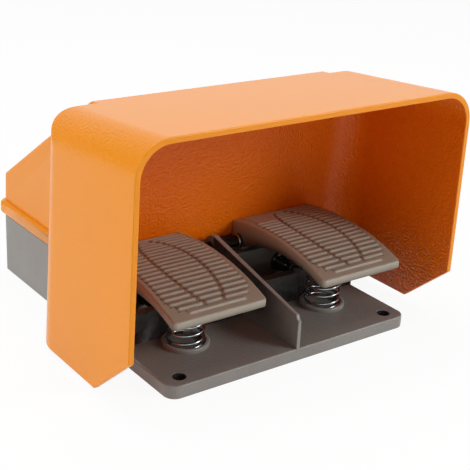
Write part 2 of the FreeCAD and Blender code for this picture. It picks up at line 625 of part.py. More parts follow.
def shaft_parts():
    """Pivot shaft through the ears and the divider, with its washers and retaining clips."""
    shaft = rod("shaft_rod", "x", "-shaft_end", "shaft_y", "shaft_z", "shaft_radius", "2 * shaft_end")
    sub_part(common("shaft_solid", shaft, box("shaft_space", "-shaft_end", "shaft_end", "shaft_y - 10",
                                              "shaft_y + 10", "shaft_z - 10", "shaft_z + 10")), "pivot_shaft")
    inner = "pedal_x - pedal_width / 2"
    outer = "base_width / 2 - ear_thick"
    rings = {"washers": [], "clips": []}
    for side in (-1, 1):
        spans = (("washers", "%s - axial_gap - washer_thick" % inner, "washer_thick", "washer_radius"),
                 ("washers", "%s - axial_gap - washer_thick" % outer, "washer_thick", "washer_radius"),
                 ("clips", "%s - 2 * axial_gap - washer_thick - clip_thick" % inner, "clip_thick", "clip_radius"),
                 ("clips", "base_width / 2 + clip_groove_gap", "clip_thick", "clip_radius"))
        for kind, start, thick, radius in spans:
            name = "%s_%d" % (kind, len(rings[kind]))
            x = start if side > 0 else "-(%s) - (%s)" % (start, thick)
            disc = rod(name + "_disc", "x", x, "shaft_y", "shaft_z", radius, thick)
            hole = rod(name + "_hole", "x", "(%s) - 1" % x, "shaft_y", "shaft_z", "shaft_radius + seat_gap", "(%s) + 2" % thick)
            rings[kind].append(cut(name, disc, hole))
    sub_part(group("washer_group", *rings["washers"]), "shaft_washers")
    sub_part(group("clip_group", *rings["clips"]), "shaft_clips")


def tread_bars(name, x):
    """The raised bars of one pedal's tread: rows across the pedal, parted by a channel along a leaf.

    The sheet gives the pattern's sizes, and the rows are worked out from them."""
    low = value("pedal_front")
    pitch, width = value("bar_pitch"), value("bar_width")
    half, leaf_b, leaf_a = value("tread_half"), value("leaf_half"), value("leaf_length")
    middle, gap = value("leaf_middle"), value("leaf_gap") / 2
    length = value("pedal_rear - pedal_front")
    depth = value("bar_first")
    bars = []
    row = 0
    while depth < length - width * 1.3:
        ends = (3.2 - row) if row < 3 else 0.0
        reach = half - max(ends, 0.0) ** 2 * 0.92
        back_ends = (depth - (length - pitch * 2.2)) / pitch
        reach -= max(back_ends, 0.0) ** 2 * 2.2
        share = (depth - middle) / leaf_a
        leaf = leaf_b * math.sqrt(max(1 - share * share, 0.0))
        spans = [(-reach, reach)]
        if leaf > gap + 2 and row:
            spans = [(-reach, -leaf - gap), (-leaf + gap, leaf - gap), (leaf + gap, reach)]
            if depth > value("pad_start"):
                spans = spans[1:]
        for x0, x1 in spans:
            y0 = low + depth - width / 2
            bars.append(Part.makeBox(x1 - x0, width, 30, FreeCAD.Vector(x0, y0, value("lip_height") - 8)))
        depth += pitch
        row += 1
    item = doc.addObject("Part::Feature", name)
    item.Shape = Part.makeCompound(bars)
    return item


def pedal(side, x):
    """One die-cast pedal: crowned tread with skirts, heel, hubs for its bushes, arm and stop bosses."""
    name = side + "_pedal"
    half = "pedal_width / 2"
    shell = body(name + "_shell")
    side_view = outline(shell, name + "_side", "YZ_Plane", [
        ("pedal_front", "lip_height - lip_thick"),
        ("pedal_front", "lip_height"),
        ("pedal_rear", "heel_height"),
        ("pedal_rear", "heel_bottom"),
        ("shaft_y", "heel_bottom"),
        ("skirt_hub_y", "skirt_hub_z"),
        ("skirt_break_y", "skirt_break_z"),
        ("pedal_front + 3", "lip_height - lip_thick")],
        {1: ("tread_radius", 1), 5: ("skirt_rear_radius", -1), 6: ("skirt_radius", -1)})
    pad(shell, name + "_pad", side_view, "pedal_width", symmetric=True)
    rounded(shell, name + "_corners", "corner_plan",
            lambda e: near(e.BoundBox.YMin, SIZES["pedal_front"]) and near(e.BoundBox.YMax, SIZES["pedal_front"])
            and e.BoundBox.ZLength > 1 and e.BoundBox.XLength < 0.01)
    rounded(shell, name + "_lip", "lip_round",
            lambda e: e.BoundBox.YMax < SIZES["pedal_front"] + SIZES["corner_plan"] + 0.5
            and e.BoundBox.ZMin > SIZES["lip_height"] - 0.6 and e.BoundBox.ZLength < 0.9)
    room = outline(shell, name + "_room_side", "YZ_Plane", [
        ("pedal_front + pedal_skin", "heel_bottom - 5"),
        ("pedal_front + pedal_skin", "lip_height - 2"),
        ("pedal_rear - pedal_skin", "heel_height - pedal_skin + 0.5"),
        ("pedal_rear - pedal_skin", "heel_bottom - 5")],
        {1: ("tread_radius - pedal_skin", 1)})
    pocket(shell, name + "_room", room, "pedal_width - 2 * pedal_skin", symmetric=True)

    tread = body(name + "_tread_skin")
    band = outline(tread, name + "_tread_side", "YZ_Plane", [
        ("pedal_front", "lip_height - 1"), ("pedal_front", "lip_height + bar_height"),
        ("pedal_rear", "heel_height + bar_height"), ("pedal_rear", "heel_height - 1")],
        {1: ("tread_radius", 1), 3: ("tread_radius", -1)})
    pad(tread, name + "_tread_pad", band, "pedal_width", symmetric=True)
    bars = common(name + "_bars", tread, tread_bars(name + "_pattern", x))

    added = [bars]
    for i, x0 in enumerate(("-%s" % half, "%s - bush_length" % half)):
        added.append(rod("%s_hub_%d" % (name, i), "x", x0, "shaft_y", "shaft_z", "hub_radius", "bush_length"))
    under = "heel_height + 1"
    arm = body(name + "_arm")
    pad(arm, name + "_arm_pad", outline(arm, name + "_arm_side", "YZ_Plane", [
        ("arm_front", "arm_bottom"), ("arm_back", "arm_bottom"), ("arm_back", "arm_bottom + 22"),
        ("arm_back + 8", under), ("arm_front - 10", under), ("arm_front", "wall_height + 6")]),
        "arm_width", symmetric=True)
    added.append(arm)
    added.append(rod(name + "_spring_pad", "z", "0", "spring_y", "spring_top", "spring_radius + 1", "4"))
    added.append(rod(name + "_spigot", "z", "0", "spring_y", "spring_top - spigot_length",
                     "spring_radius - 2 * wire_radius - spigot_gap", "spigot_length + 1"))
    for i, shift in enumerate(("-stop_offset", "stop_offset")):
        added.append(rod("%s_stop_%d" % (name, i), "z", shift, "wall_y + wall_thick / 2", "stop_bottom",
                         "stop_radius", "%s - stop_bottom" % under))
    solid = fuse(name + "_cast", shell, *added)
    bore = rod(name + "_bush_bore", "x", "-%s - 1" % half, "shaft_y", "shaft_z", "bush_radius + seat_gap",
               "pedal_width + 2")
    tap = rod(name + "_stud_hole", "y", "0", "arm_front - 1", "stud_z", "stud_radius + seat_gap", "8")
    solid = cut(name + "_solid", solid, bore, tap)
    bind(sub_part(solid, name), Placement__Base__x=x)

    bushes = []
    for i, x0 in enumerate(("-%s" % half, "%s - bush_length" % half)):
        disc = rod("%s_bush_%d" % (side, i), "x", x0, "shaft_y", "shaft_z", "bush_radius", "bush_length")
        hole = rod("%s_bush_hole_%d" % (side, i), "x", "(%s) - 1" % x0, "shaft_y", "shaft_z",
                   "shaft_radius + running_gap", "bush_length + 2")
        bushes.append(cut("%s_bush_ring_%d" % (side, i), disc, hole))
    bind(sub_part(group(side + "_bush_group", *bushes), side + "_pedal_bushes"), Placement__Base__x=x)

    head = "plunger_tip - contact_gap - arm_back"
    stud = fuse(side + "_stud_solid",
                rod(side + "_stud_head", "y", "0", "arm_back", "stud_z", "stud_head_radius", head),
                rod(side + "_stud_shank", "y", "0", "arm_front - locknut_thick - 0.6", "stud_z", "stud_radius",
                    "arm_back - arm_front + locknut_thick + 1"))
    bind(sub_part(stud, side + "_adjusting_stud"), Placement__Base__x=x)
    nut = cut(side + "_lock_nut_solid",
              rod(side + "_nut_hex", "y", "0", "arm_front - locknut_thick", "stud_z", "locknut_radius",
                  "locknut_thick", sides=6),
              rod(side + "_nut_hole", "y", "0", "arm_front - locknut_thick - 1", "stud_z",
                  "stud_radius + seat_gap", "locknut_thick + 2"))
    bind(sub_part(nut, side + "_lock_nut"), Placement__Base__x=x)


def biarc(start, start_way, stop, stop_way):
    """Two arcs that join two points of a curve and keep its direction at both."""
    chord = stop - start
    ways = start_way + stop_way
    a = 2 * (1 - start_way.dot(stop_way))
    b = 2 * chord.dot(ways)
    c = -chord.dot(chord)
    reach = (-b + math.sqrt(b * b - 4 * a * c)) / (2 * a) if a > 1e-9 else -c / b
    joint = (start + start_way * reach + stop - stop_way * reach) * 0.5
    arcs = []
    for p, q, knee in ((start, joint, start + start_way * reach), (joint, stop, stop - stop_way * reach)):
        middle = (p + q) * 0.5
        rise = knee - middle
        angle = math.atan2(rise.Length, (q - p).Length / 2)
        arcs.append(Part.Arc(p, middle + rise.normalize() * ((q - p).Length / 2 * math.tan(angle / 2)), q))
    return arcs


def spring(side, x):
    """A compression spring: one unbroken wire with a closed turn at each end."""
    wire, coil = value("wire_radius"), value("spring_radius - wire_radius")
    bottom, top = value("plate_thick") + wire, value("spring_top") - wire
    rise, turns = value("end_pitch"), value("spring_turns")
    open_pitch = (top - bottom - 2 * rise) / turns
    total = turns + 2

    def height(turn):
        if turn < 1:
            return bottom + rise * turn
        if turn > total - 1:
            return top - rise * (total - turn)
        return bottom + rise + open_pitch * (turn - 1)

    def spot(turn):
        angle = 2 * math.pi * turn
        return FreeCAD.Vector(coil * math.cos(angle), coil * math.sin(angle), height(turn))

    def way(turn):
        angle = 2 * math.pi * turn
        step = 1e-4
        climb = (height(turn + step) - height(turn - step)) / (2 * step) / (2 * math.pi)
        return FreeCAD.Vector(-coil * math.sin(angle), coil * math.cos(angle), climb).normalize()

    edges = []
    halves = int(round(total * 2))
    for i in range(halves):
        for arc in biarc(spot(i / 2), way(i / 2), spot((i + 1) / 2), way((i + 1) / 2)):
            edges.append(arc.toShape())
    path = Part.Wire(edges)
    flats = int(value("wire_flats"))
    across = FreeCAD.Vector(1, 0, 0)
    upward = way(0).cross(across)
    section = Part.makePolygon([spot(0) + across * (wire * math.cos(2 * math.pi * k / flats))
                                + upward * (wire * math.sin(2 * math.pi * k / flats)) for k in range(flats + 1)])
    tube = path.makePipeShell([section], True, False)
    item = doc.addObject("Part::Feature", side + "_spring_wire")
    item.Shape = tube
    sub_part(item, side + "_spring")
    bind(item, Placement__Base__x=x, Placement__Base__y="spring_y - base_depth / 2")
    steps = 72
    points = [spot(i / steps) for i in range(int(total * steps) + 1)]
    least = min((points[i + steps + k] - points[i]).Length for k in (-2, -1, 0, 1, 2)
                for i in range(2, len(points) - steps - 2)) - 2 * wire
    print("%s_spring: least gap between turns %.2f mm, volume %.0f of %.0f mm3"
          % (side, least, tube.Volume, flats / 2 * math.sin(2 * math.pi / flats) * wire ** 2 * path.Length))


def plunger_parts(side, x):
    """Sleeve through the box's front wall with its nut, plunger, and snap switch with its button."""
    name = side + "_plunger_sleeve"
    barrel = rod(name + "_barrel", "y", "0", "sleeve_front", "axis_z", "sleeve_radius",
                 "front_wall_y + casting_wall + nut_thick + sleeve_tail - sleeve_front")
    flange = rod(name + "_flange", "y", "0", "front_wall_y - flange_thick", "axis_z", "flange_radius", "flange_thick")
    bore = rod(name + "_bore", "y", "0", "sleeve_front - 1", "axis_z", "plunger_radius + running_gap", "60")
    bind(sub_part(cut(name + "_solid", fuse(name + "_outside", barrel, flange), bore), name), Placement__Base__x=x)

    name = side + "_sleeve_nut"
    hexagon = rod(name + "_hex", "y", "0", "front_wall_y + casting_wall", "axis_z", "nut_radius", "nut_thick", sides=6)
    hole = rod(name + "_hole", "y", "0", "front_wall_y", "axis_z", "sleeve_radius + seat_gap", "30")
    bind(sub_part(cut(name + "_solid", hexagon, hole), name), Placement__Base__x=x)

    face = "front_wall_y + casting_wall + nut_thick + sleeve_tail + plunger_travel + 1"
    button_front = "%s - button_length" % face
    stem = rod(side + "_plunger_rod", "y", "0", "plunger_tip + tip_bevel", "axis_z", "plunger_radius",
               "(%s) - plunger_tip - tip_bevel" % button_front)
    tip = doc.addObject("Part::Cone", side + "_plunger_bevel")
    tip.Placement.Rotation = TURNS["y"]
    bind(tip, Radius1="plunger_radius - tip_bevel", Radius2="plunger_radius", Height="tip_bevel")
    place(tip, "0", "plunger_tip", "axis_z")
    bind(sub_part(fuse(side + "_plunger_solid", stem, tip), side + "_plunger"), Placement__Base__x=x)
    button = rod(side + "_button_rod", "y", "0", button_front, "axis_z", "button_radius", "button_length + button_depth")
    bind(sub_part(group(side + "_button_group", button), side + "_switch_button"), Placement__Base__x=x)

    half = "switch_width / 2"
    low = "floor_thick + bracket_thick"
    case = box(side + "_switch_case", "-" + half, half, face, "(%s) + switch_length" % face, low, "(%s) + switch_height" % low)
    hole = rod(side + "_button_bore", "y", "0", "(%s) - 1" % face, "axis_z", "button_radius + running_gap",
               "button_depth + plunger_travel + 3")
    seam = box(side + "_lid_groove", "-" + half + " - 1", half + " + 1", "(%s) + 2" % face,
               "(%s) + switch_length - 2" % face, "(%s) + switch_height - 5" % low, "(%s) + switch_height - 4.4" % low)
    keep = box(side + "_lid_core", "-%s + 0.5" % half, "%s - 0.5" % half, "(%s) + 1" % face,
               "(%s) + switch_length - 1" % face, low, "(%s) + switch_height" % low)
    bind(sub_part(cut(side + "_switch_solid", case, hole, cut(side + "_lid_seam", seam, keep)), side + "_snap_switch"),
         Placement__Base__x=x)
    tabs = []
    for i, dx in enumerate(("-6", "0", "6")):
        tabs.append(box("%s_tab_%d" % (side, i), "%s - 1.6" % dx, "%s + 1.6" % dx, "(%s) + switch_length" % face,
                        "(%s) + switch_length + 7" % face, "axis_z - 0.4", "axis_z + 0.4"))
    bind(sub_part(group(side + "_tab_group", *tabs), side + "_switch_terminals"), Placement__Base__x=x)


def switch_bracket():
    """Steel plate on the box's floor that both snap switches stand on, with its screws."""
    face = "front_wall_y + casting_wall + nut_thick + sleeve_tail + plunger_travel + 1"
    reach = "pedal_x + switch_width / 2 + bracket_margin"
    plate = box("bracket_plate", "-(%s)" % reach, reach, face, "(%s) + switch_length" % face,
                "floor_thick", "floor_thick + bracket_thick")
    places = [(sx, "(%s) + %s" % (face, sy)) for sx in ("-(%s) + 5" % reach, "(%s) - 5" % reach)
              for sy in ("10", "switch_length - 8")]
    holes = [rod("bracket_hole_%d" % i, "z", x, y, "floor_thick - 1", "1.5 + hole_gap", "5")
             for i, (x, y) in enumerate(places)]
    sub_part(cut("bracket_solid", plate, *holes), "switch_bracket")
    screws = [rod("bracket_screw_%d" % i, "z", x, y, "floor_thick + bracket_thick", "2.8", "2.2")
              for i, (x, y) in enumerate(places)]
    shanks = [rod("bracket_shank_%d" % i, "z", x, y, "floor_thick", "1.5", "bracket_thick + 1")
              for i, (x, y) in enumerate(places)]
    sub_part(group("bracket_screw_group", *[fuse("bracket_screw_whole_%d" % i, a, b)
                                            for i, (a, b) in enumerate(zip(screws, shanks))]), "bracket_screws")


def connections():
    """Terminal block with its screws, and the earth screw."""
    top = "floor_thick + block_height"
    half = "block_width / 2"
    block = box("block_body", "-" + half, half, "(base_depth - block_inset)", "(base_depth - block_inset) + block_depth", "floor_thick", top)
    ways = int(value("block_ways"))
    wells, screws = [], []
    for i in range(ways):
        x = "-%s + block_width * (%d + 0.5) / block_ways" % (half, i)
        wells.append(rod("block_well_%d" % i, "z", x, "(base_depth - block_inset) + block_depth / 2", "%s - 7" % top, "2.8", "8"))
        wells.append(box("block_mouth_%d" % i, "(%s) - 2" % x, "(%s) + 2" % x, "(base_depth - block_inset) - 1",
                         "(base_depth - block_inset) + block_depth + 1", "floor_thick + 3", "floor_thick + 7"))
        screws.append(rod("block_screw_%d" % i, "z", x, "(base_depth - block_inset) + block_depth / 2", "%s - 7" % top, "2.6", "5"))
    sub_part(cut("block_solid", block, *wells), "terminal_block")
    sub_part(group("block_screw_group", *screws), "terminal_screws")
    sub_part(fuse("earth_screw_solid", rod("earth_head", "z", "earth_x", "base_depth - earth_inset", "floor_thick + boss_height", "3.6", "2.6"),
                  rod("earth_shank", "z", "earth_x", "base_depth - earth_inset", "floor_thick + 0.5", "2", "boss_height")), "earth_screw")


def cable_gland():
    """Cable gland in the rear wall, without its cable."""
    wall = "base_depth"
    parts = [rod("gland_hexagon", "y", "0", wall, "gland_z", "gland_hex", "gland_hex_thick", sides=6),
             rod("gland_thread_in", "y", "0", "%s - casting_wall - gland_tail" % wall, "gland_z", "gland_radius",
                 "casting_wall + gland_tail"),
             rod("gland_thread_out", "y", "0", "%s + gland_hex_thick" % wall, "gland_z", "gland_radius - 0.4", "gland_neck")]
    hollow = rod("gland_way", "y", "0", "%s - 40" % wall, "gland_z", "gland_bore", "90")
    cup = rod("gland_cup", "y", "0", "%s + gland_hex_thick + 1" % wall, "gland_z", "seal_radius + seat_gap", "30")
    sub_part(cut("gland_body_solid", fuse("gland_body_outside", *parts), hollow, cup), "gland_body")

    start = "%s + gland_hex_thick + 0.5" % wall
    cap = rod("cap_outside", "y", "0", start, "gland_z", "gland_cap_radius", "gland_cap_length", sides=6)
    dome = rod("cap_round", "y", "0", start, "gland_z", "gland_cap_radius * 0.93", "gland_cap_length")
    thread = rod("cap_thread", "y", "0", "(%s) - 1" % start, "gland_z", "gland_radius - 0.4 + seat_gap", "gland_neck + 1.2")
    mouth = rod("cap_mouth", "y", "0", start, "gland_z", "gland_bore + 0.6", "gland_cap_length + 5")
    sub_part(cut("gland_cap_solid", common("gland_cap_outside", cap, dome), thread, mouth), "gland_cap")
    seal = cut("gland_seal_solid",
               rod("seal_outside", "y", "0", "%s + gland_hex_thick + 1" % wall, "gland_z", "seal_radius", "seal_length - 1.2"),
               rod("seal_hole", "y", "0", wall, "gland_z", "gland_bore", "60"))
    sub_part(seal, "gland_seal")
    nut = cut("gland_nut_solid",
              rod("gland_nut_hex", "y", "0", "%s - casting_wall - gland_nut_thick" % wall, "gland_z", "gland_hex",
                  "gland_nut_thick", sides=6),
              rod("gland_nut_hole", "y", "0", "%s - 60" % wall, "gland_z", "gland_radius + seat_gap", "70"))
    sub_part(nut, "gland_nut")


def rubber_stops():
    """Bumpers on the cross wall that end the stroke, and pads that the heels rest on."""
    bumpers, pads = [], []
    for i, side in enumerate(("-", "")):
        for k, shift in enumerate(("-stop_offset", "stop_offset")):
            x, y = "%spedal_x + (%s)" % (side, shift), "wall_y + wall_thick / 2"
            bumpers.append(fuse("bumper_%d%d" % (i, k),
                                rod("bumper_head_%d%d" % (i, k), "z", x, y, "wall_height", "bumper_radius", "bumper_height"),
                                rod("bumper_stem_%d%d" % (i, k), "z", x, y, "wall_height - bumper_stem",
                                    "bumper_stem_radius", "bumper_stem + 1")))
        top = "heel_bottom - heel_pad_gap"
        pads.append(box("heel_pad_%d" % i, "%spedal_x - 20" % side, "%spedal_x + 20" % side, "pedal_rear - 5",
                        "pedal_rear + 2", "shelf_height", top))
    sub_part(group("bumper_group", *bumpers), "stop_bumpers")
    sub_part(group("heel_pad_group", *pads), "heel_pads")


base_casting()
hood_cover()
gasket()
cover_screws()
shaft_parts()
for side, x in (("left", "-pedal_x"), ("right", "pedal_x")):
    pedal(side, x)
    spring(side, x)
    plunger_parts(side, x)
rubber_stops()
switch_bracket()
connections()
cable_gland()
doc.recompute()

for item in doc.Objects:
    if "Invalid" in item.State or "Error" in item.State:
        raise RuntimeError("%s failed: %s" % (item.Label, item.State))
os.makedirs("parts", exist_ok=True)
total = 0
for item in exported:
    shape = item.Shape
    if shape.isNull() or not shape.isValid() or not shape.Solids:
        raise RuntimeError("%s has no valid shape" % item.Label)
    shape.exportStep("parts/%s.step" % item.Label)
    facets = len(shape.tessellate(0.3)[1])
    total += facets
    print("%-22s %2d solids %8.1f cm3 %6d facets" % (item.Label, len(shape.Solids), shape.Volume / 1000, facets))
print("%d sub-parts, about %d facets" % (len(exported), total))
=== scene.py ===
"""Double foot switch: the dressed model, its camera, lights and floor.

The frame is in metres, from the centre of the base's underside. Shapes are drawn in millimetres, with Y from
the base's front edge, and to_frame turns those drawing coordinates into the frame's."""
import bmesh
import bpy
import json
import math
from mathutils import Matrix, Vector


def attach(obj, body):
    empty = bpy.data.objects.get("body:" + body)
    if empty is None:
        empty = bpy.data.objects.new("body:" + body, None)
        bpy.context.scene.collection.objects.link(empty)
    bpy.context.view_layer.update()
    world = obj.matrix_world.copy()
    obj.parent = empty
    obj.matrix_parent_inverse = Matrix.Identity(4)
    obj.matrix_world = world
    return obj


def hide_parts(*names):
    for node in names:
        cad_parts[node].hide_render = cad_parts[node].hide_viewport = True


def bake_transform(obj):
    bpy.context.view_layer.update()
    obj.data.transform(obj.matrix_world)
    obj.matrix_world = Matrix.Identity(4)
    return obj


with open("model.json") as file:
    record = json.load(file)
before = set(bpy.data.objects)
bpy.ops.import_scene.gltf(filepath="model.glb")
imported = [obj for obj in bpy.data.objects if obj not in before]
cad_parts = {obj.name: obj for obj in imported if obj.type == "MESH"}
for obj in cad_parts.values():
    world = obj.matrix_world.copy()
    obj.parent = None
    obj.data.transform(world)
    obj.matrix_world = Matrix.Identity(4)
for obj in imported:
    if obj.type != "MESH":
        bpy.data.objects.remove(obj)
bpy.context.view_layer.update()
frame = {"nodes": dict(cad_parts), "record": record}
NODES = frame["nodes"]
RECORD = frame["record"]
SLOT_OF = {part["node"]: part["material_slot"] for part in RECORD["subparts"]}
BODY_OF = {node: name for name, nodes in RECORD["behaviour"]["bodies"].items() for node in nodes}
SIDES = (("left", -1), ("right", 1))

MM = 0.001
BASE_DEPTH = 231.0
BASE_Y = BASE_DEPTH / 2     # the base's centre, in drawing coordinates


# Camera

CAMERA_ANGLES = (-37.632, 22.201, 3.305)        # azimuth, elevation and roll, in degrees
CAMERA_PLACE = (-0.41619, -0.58040, 0.34120)
CAMERA_LENS = 81.66                             # millimetres, as is the sensor's width
CAMERA_SENSOR = 36.0


def make_camera():
    """The photograph's camera, recovered from the object's straight edges."""
    azimuth, elevation, roll = (math.radians(angle) for angle in CAMERA_ANGLES)
    level = math.cos(elevation)
    back = Vector((math.sin(azimuth) * level, -math.cos(azimuth) * level, math.sin(elevation)))
    right = (-back).cross(Vector((0, 0, 1))).normalized()
    up = right.cross(-back)
    across = math.cos(roll) * right + math.sin(roll) * up
    upward = math.cos(roll) * up - math.sin(roll) * right
    data = bpy.data.cameras.new("photo_camera")
    data.sensor_width = CAMERA_SENSOR
    data.lens = CAMERA_LENS
    data.clip_start, data.clip_end = 0.05, 50.0
    camera = bpy.data.objects.new("photo_camera", data)
    bpy.context.scene.collection.objects.link(camera)
    turn = Matrix((across, upward, back)).transposed().to_4x4()
    camera.matrix_world = Matrix.Translation(CAMERA_PLACE) @ turn
    bpy.context.scene.camera = camera


# Node trees

class Graph:
    """A node tree with a few shorthand calls."""

    def __init__(self, tree):
        self.tree = tree

    def new(self, kind, **settings):
        node = self.tree.nodes.new(kind)
        for key, value in settings.items():
            setattr(node, key, value)
        return node

    def link(self, output, socket):
        self.tree.links.new(output, socket)

    def fill(self, socket, item):
        """Link an output to a socket, or give the socket a number or a colour."""
        if isinstance(item, bpy.types.NodeSocket):
            self.link(item, socket)
        else:
            socket.default_value = (*item, 1.0) if isinstance(item, tuple) else item

    def math(self, operation, one, other=0.0):
        node = self.new("ShaderNodeMath", operation=operation)
        self.fill(node.inputs[0], one)
        self.fill(node.inputs[1], other)
        return node.outputs[0]

    def span(self, factor, low, high, start=0.0, stop=1.0, curve="LINEAR"):
        """Low where the factor is at start, high where it is at stop, and held beyond both."""
        node = self.new("ShaderNodeMapRange", interpolation_type=curve)
        for key, value in (("From Min", start), ("From Max", stop), ("To Min", low), ("To Max", high)):
            node.inputs[key].default_value = value
        self.link(factor, node.inputs["Value"])
        return node.outputs["Result"]

    def axes(self, vector):
        node = self.new("ShaderNodeSeparateXYZ")
        self.link(vector, node.inputs[0])
        return node.outputs

    def layered(self, factor, under, over):
        """One shader over another, by a factor."""
        node = self.new("ShaderNodeMixShader")
        for socket, output in zip(node.inputs, (factor, under, over)):
            self.link(output, socket)
        return node.outputs[0]

    def looking(self):
        """1 for rays that show the background itself: from the camera, in a reflection or through glass."""
        path = self.new("ShaderNodeLightPath").outputs
        mirrored = self.math("MAXIMUM", path["Is Camera Ray"], path["Is Glossy Ray"])
        return self.math("MAXIMUM", mirrored, path["Is Transmission Ray"])


class Recipe(Graph):
    """A material, whose patterns lie in the object's own space."""

    def __init__(self, name):
        self.material = bpy.data.materials.new(name)
        self.material.use_nodes = True
        super().__init__(self.material.node_tree)
        self.shader = self.tree.nodes["Principled BSDF"]
        self.place = self.new("ShaderNodeTexCoord").outputs["Object"]

    def noise(self, scale, detail=3.0, stretch=None):
        node = self.new("ShaderNodeTexNoise")
        for key, value in (("Scale", scale), ("Detail", detail), ("Roughness", 0.55)):
            node.inputs[key].default_value = value
        where = self.place
        if stretch:
            mapping = self.new("ShaderNodeMapping")
            mapping.inputs["Scale"].default_value = stretch
            self.link(where, mapping.inputs["Vector"])
            where = mapping.outputs["Vector"]
        self.link(where, node.inputs["Vector"])
        return node.outputs["Fac"]

    def ramp(self, factor, *stops):
        """A colour between two stops, each a position and a colour."""
        node = self.new("ShaderNodeValToRGB")
        for element, (position, colour) in zip(node.color_ramp.elements, stops):
            element.position = position
            element.color = (*colour, 1.0)
        self.link(factor, node.inputs["Fac"])
        return node.outputs["Color"]

    def blend(self, factor, one, other):
        """The first colour, turned into another by a factor."""
        node = self.new("ShaderNodeMix", data_type="RGBA")
        factor_socket, one_socket, other_socket = node.inputs[0], node.inputs[6], node.inputs[7]
        self.link(factor, factor_socket)
        self.link(one, one_socket)
        self.fill(other_socket, other)
        return node.outputs[2]

    def bump(self, height, distance, strength=1.0):
        node = self.new("ShaderNodeBump")
        node.inputs["Distance"].default_value = distance
        self.fill(node.inputs["Strength"], strength)
        self.link(height, node.inputs["Height"])
        return node.outputs["Normal"]

    def put(self, **sockets):
        """Fill the shader's sockets, named with _ for a space."""
        for key, item in sockets.items():
            self.fill(self.shader.inputs[key.replace("_", " ")], item)
        return self.material


# Materials

def shade(colour, factor):
    """A colour made darker or lighter."""
    return tuple(min(part * factor, 1.0) for part in colour)


def near_midplane(recipe, half, start, full, end, amount):
    """Painted shade on what stands in the object's middle, in metres: how far it reaches to each side, the
    places in Y between which it grows, where it ends and how much there is. It also grows with height."""
    place = recipe.axes(recipe.place)
    rise_low, rise_high = 0.010, 0.022
    deep = recipe.span(place["Y"], 0.0, amount, start, full)
    deep = recipe.math("MULTIPLY", deep, recipe.math("LESS_THAN", place["Y"], end))
    inside = recipe.math("LESS_THAN", recipe.math("ABSOLUTE", place["X"]), half)
    deep = recipe.math("MULTIPLY", deep, inside)
    return recipe.math("MULTIPLY", deep, recipe.span(place["Z"], 0.0, 1.0, rise_low, rise_high))


def coat(name, colour, rough, peel, depth, specular, mottling, grimy_and_shaded, worn_and_highlit=None, midplane=None, calm=None):
    """Sprayed coating: a dimpled skin, and a colour that drifts slightly over the surface.

    Where a mesh has the attribute of wear and painted shading, the coat turns towards one colour above 0, for
    wear and a painted highlight, and towards another below 0, for grime and painted shade, and painted shade
    near the midplane comes on top. Peel is how close the dimples are. Where calm is given, faces without
    grime or painted shade keep only that share of the dimples' depth."""
    r = Recipe(name)
    drift = r.math("MULTIPLY", r.noise(22.0, 4.0), 0.7)
    speck = r.math("MULTIPLY", r.noise(900.0, 2.0), 0.3)
    tint = r.ramp(r.math("ADD", drift, speck),
                  (0.32, shade(colour, 1.0 - mottling)), (0.68, shade(colour, 1.0 + mottling)))
    wear = r.new("ShaderNodeAttribute", attribute_name="wear").outputs["Fac"]
    if midplane:
        wear = r.math("SUBTRACT", wear, near_midplane(r, **midplane))
    patchy = r.math("MULTIPLY", wear, r.span(r.noise(260.0), 0.75, 1.15))
    # Above 0 the coat takes the worn colour, which on the pedals' bars also paints a highlight; below 0 it
    # takes the grimy colour, which also paints shade.
    if worn_and_highlit:
        tint = r.blend(r.span(patchy, 0.0, 1.0), tint, worn_and_highlit)
    tint = r.blend(r.span(patchy, 0.0, 1.0, 0.0, -1.0), tint, grimy_and_shaded)
    strength = r.span(wear, calm, 1.0, 0.0, -0.1) if calm else 1.0
    return r.put(Base_Color=tint, Roughness=r.span(r.noise(140.0), rough - mottling, rough + mottling),
                 Normal=r.bump(r.noise(peel, 0.0), depth, strength), Specular_IOR_Level=specular)


def metal(name, colour, rough, grain=None):
    """Bare or plated metal, with grain along the direction in which its scale is small."""
    r = Recipe(name)
    lines = r.noise(700.0, 4.0, stretch=grain)
    tint = r.ramp(r.noise(60.0), (0.3, shade(colour, 0.86)), (0.7, shade(colour, 1.06)))
    return r.put(Base_Color=tint, Metallic=1.0, Roughness=r.span(lines, rough - 0.07, rough + 0.10),
                 Normal=r.bump(lines, 0.00003, 0.7))


def moulded(name, colour, rough, depth=0.00003, specular=0.5):
    """Moulded plastic, rubber or blackened steel with a fine grain."""
    r = Recipe(name)
    tint = r.ramp(r.noise(45.0), (0.3, shade(colour, 0.88)), (0.7, shade(colour, 1.10)))
    return r.put(Base_Color=tint, Roughness=r.span(r.noise(120.0), rough - 0.06, rough + 0.08),
                 Normal=r.bump(r.noise(1500.0, 2.0), depth, 0.8), Specular_IOR_Level=specular)


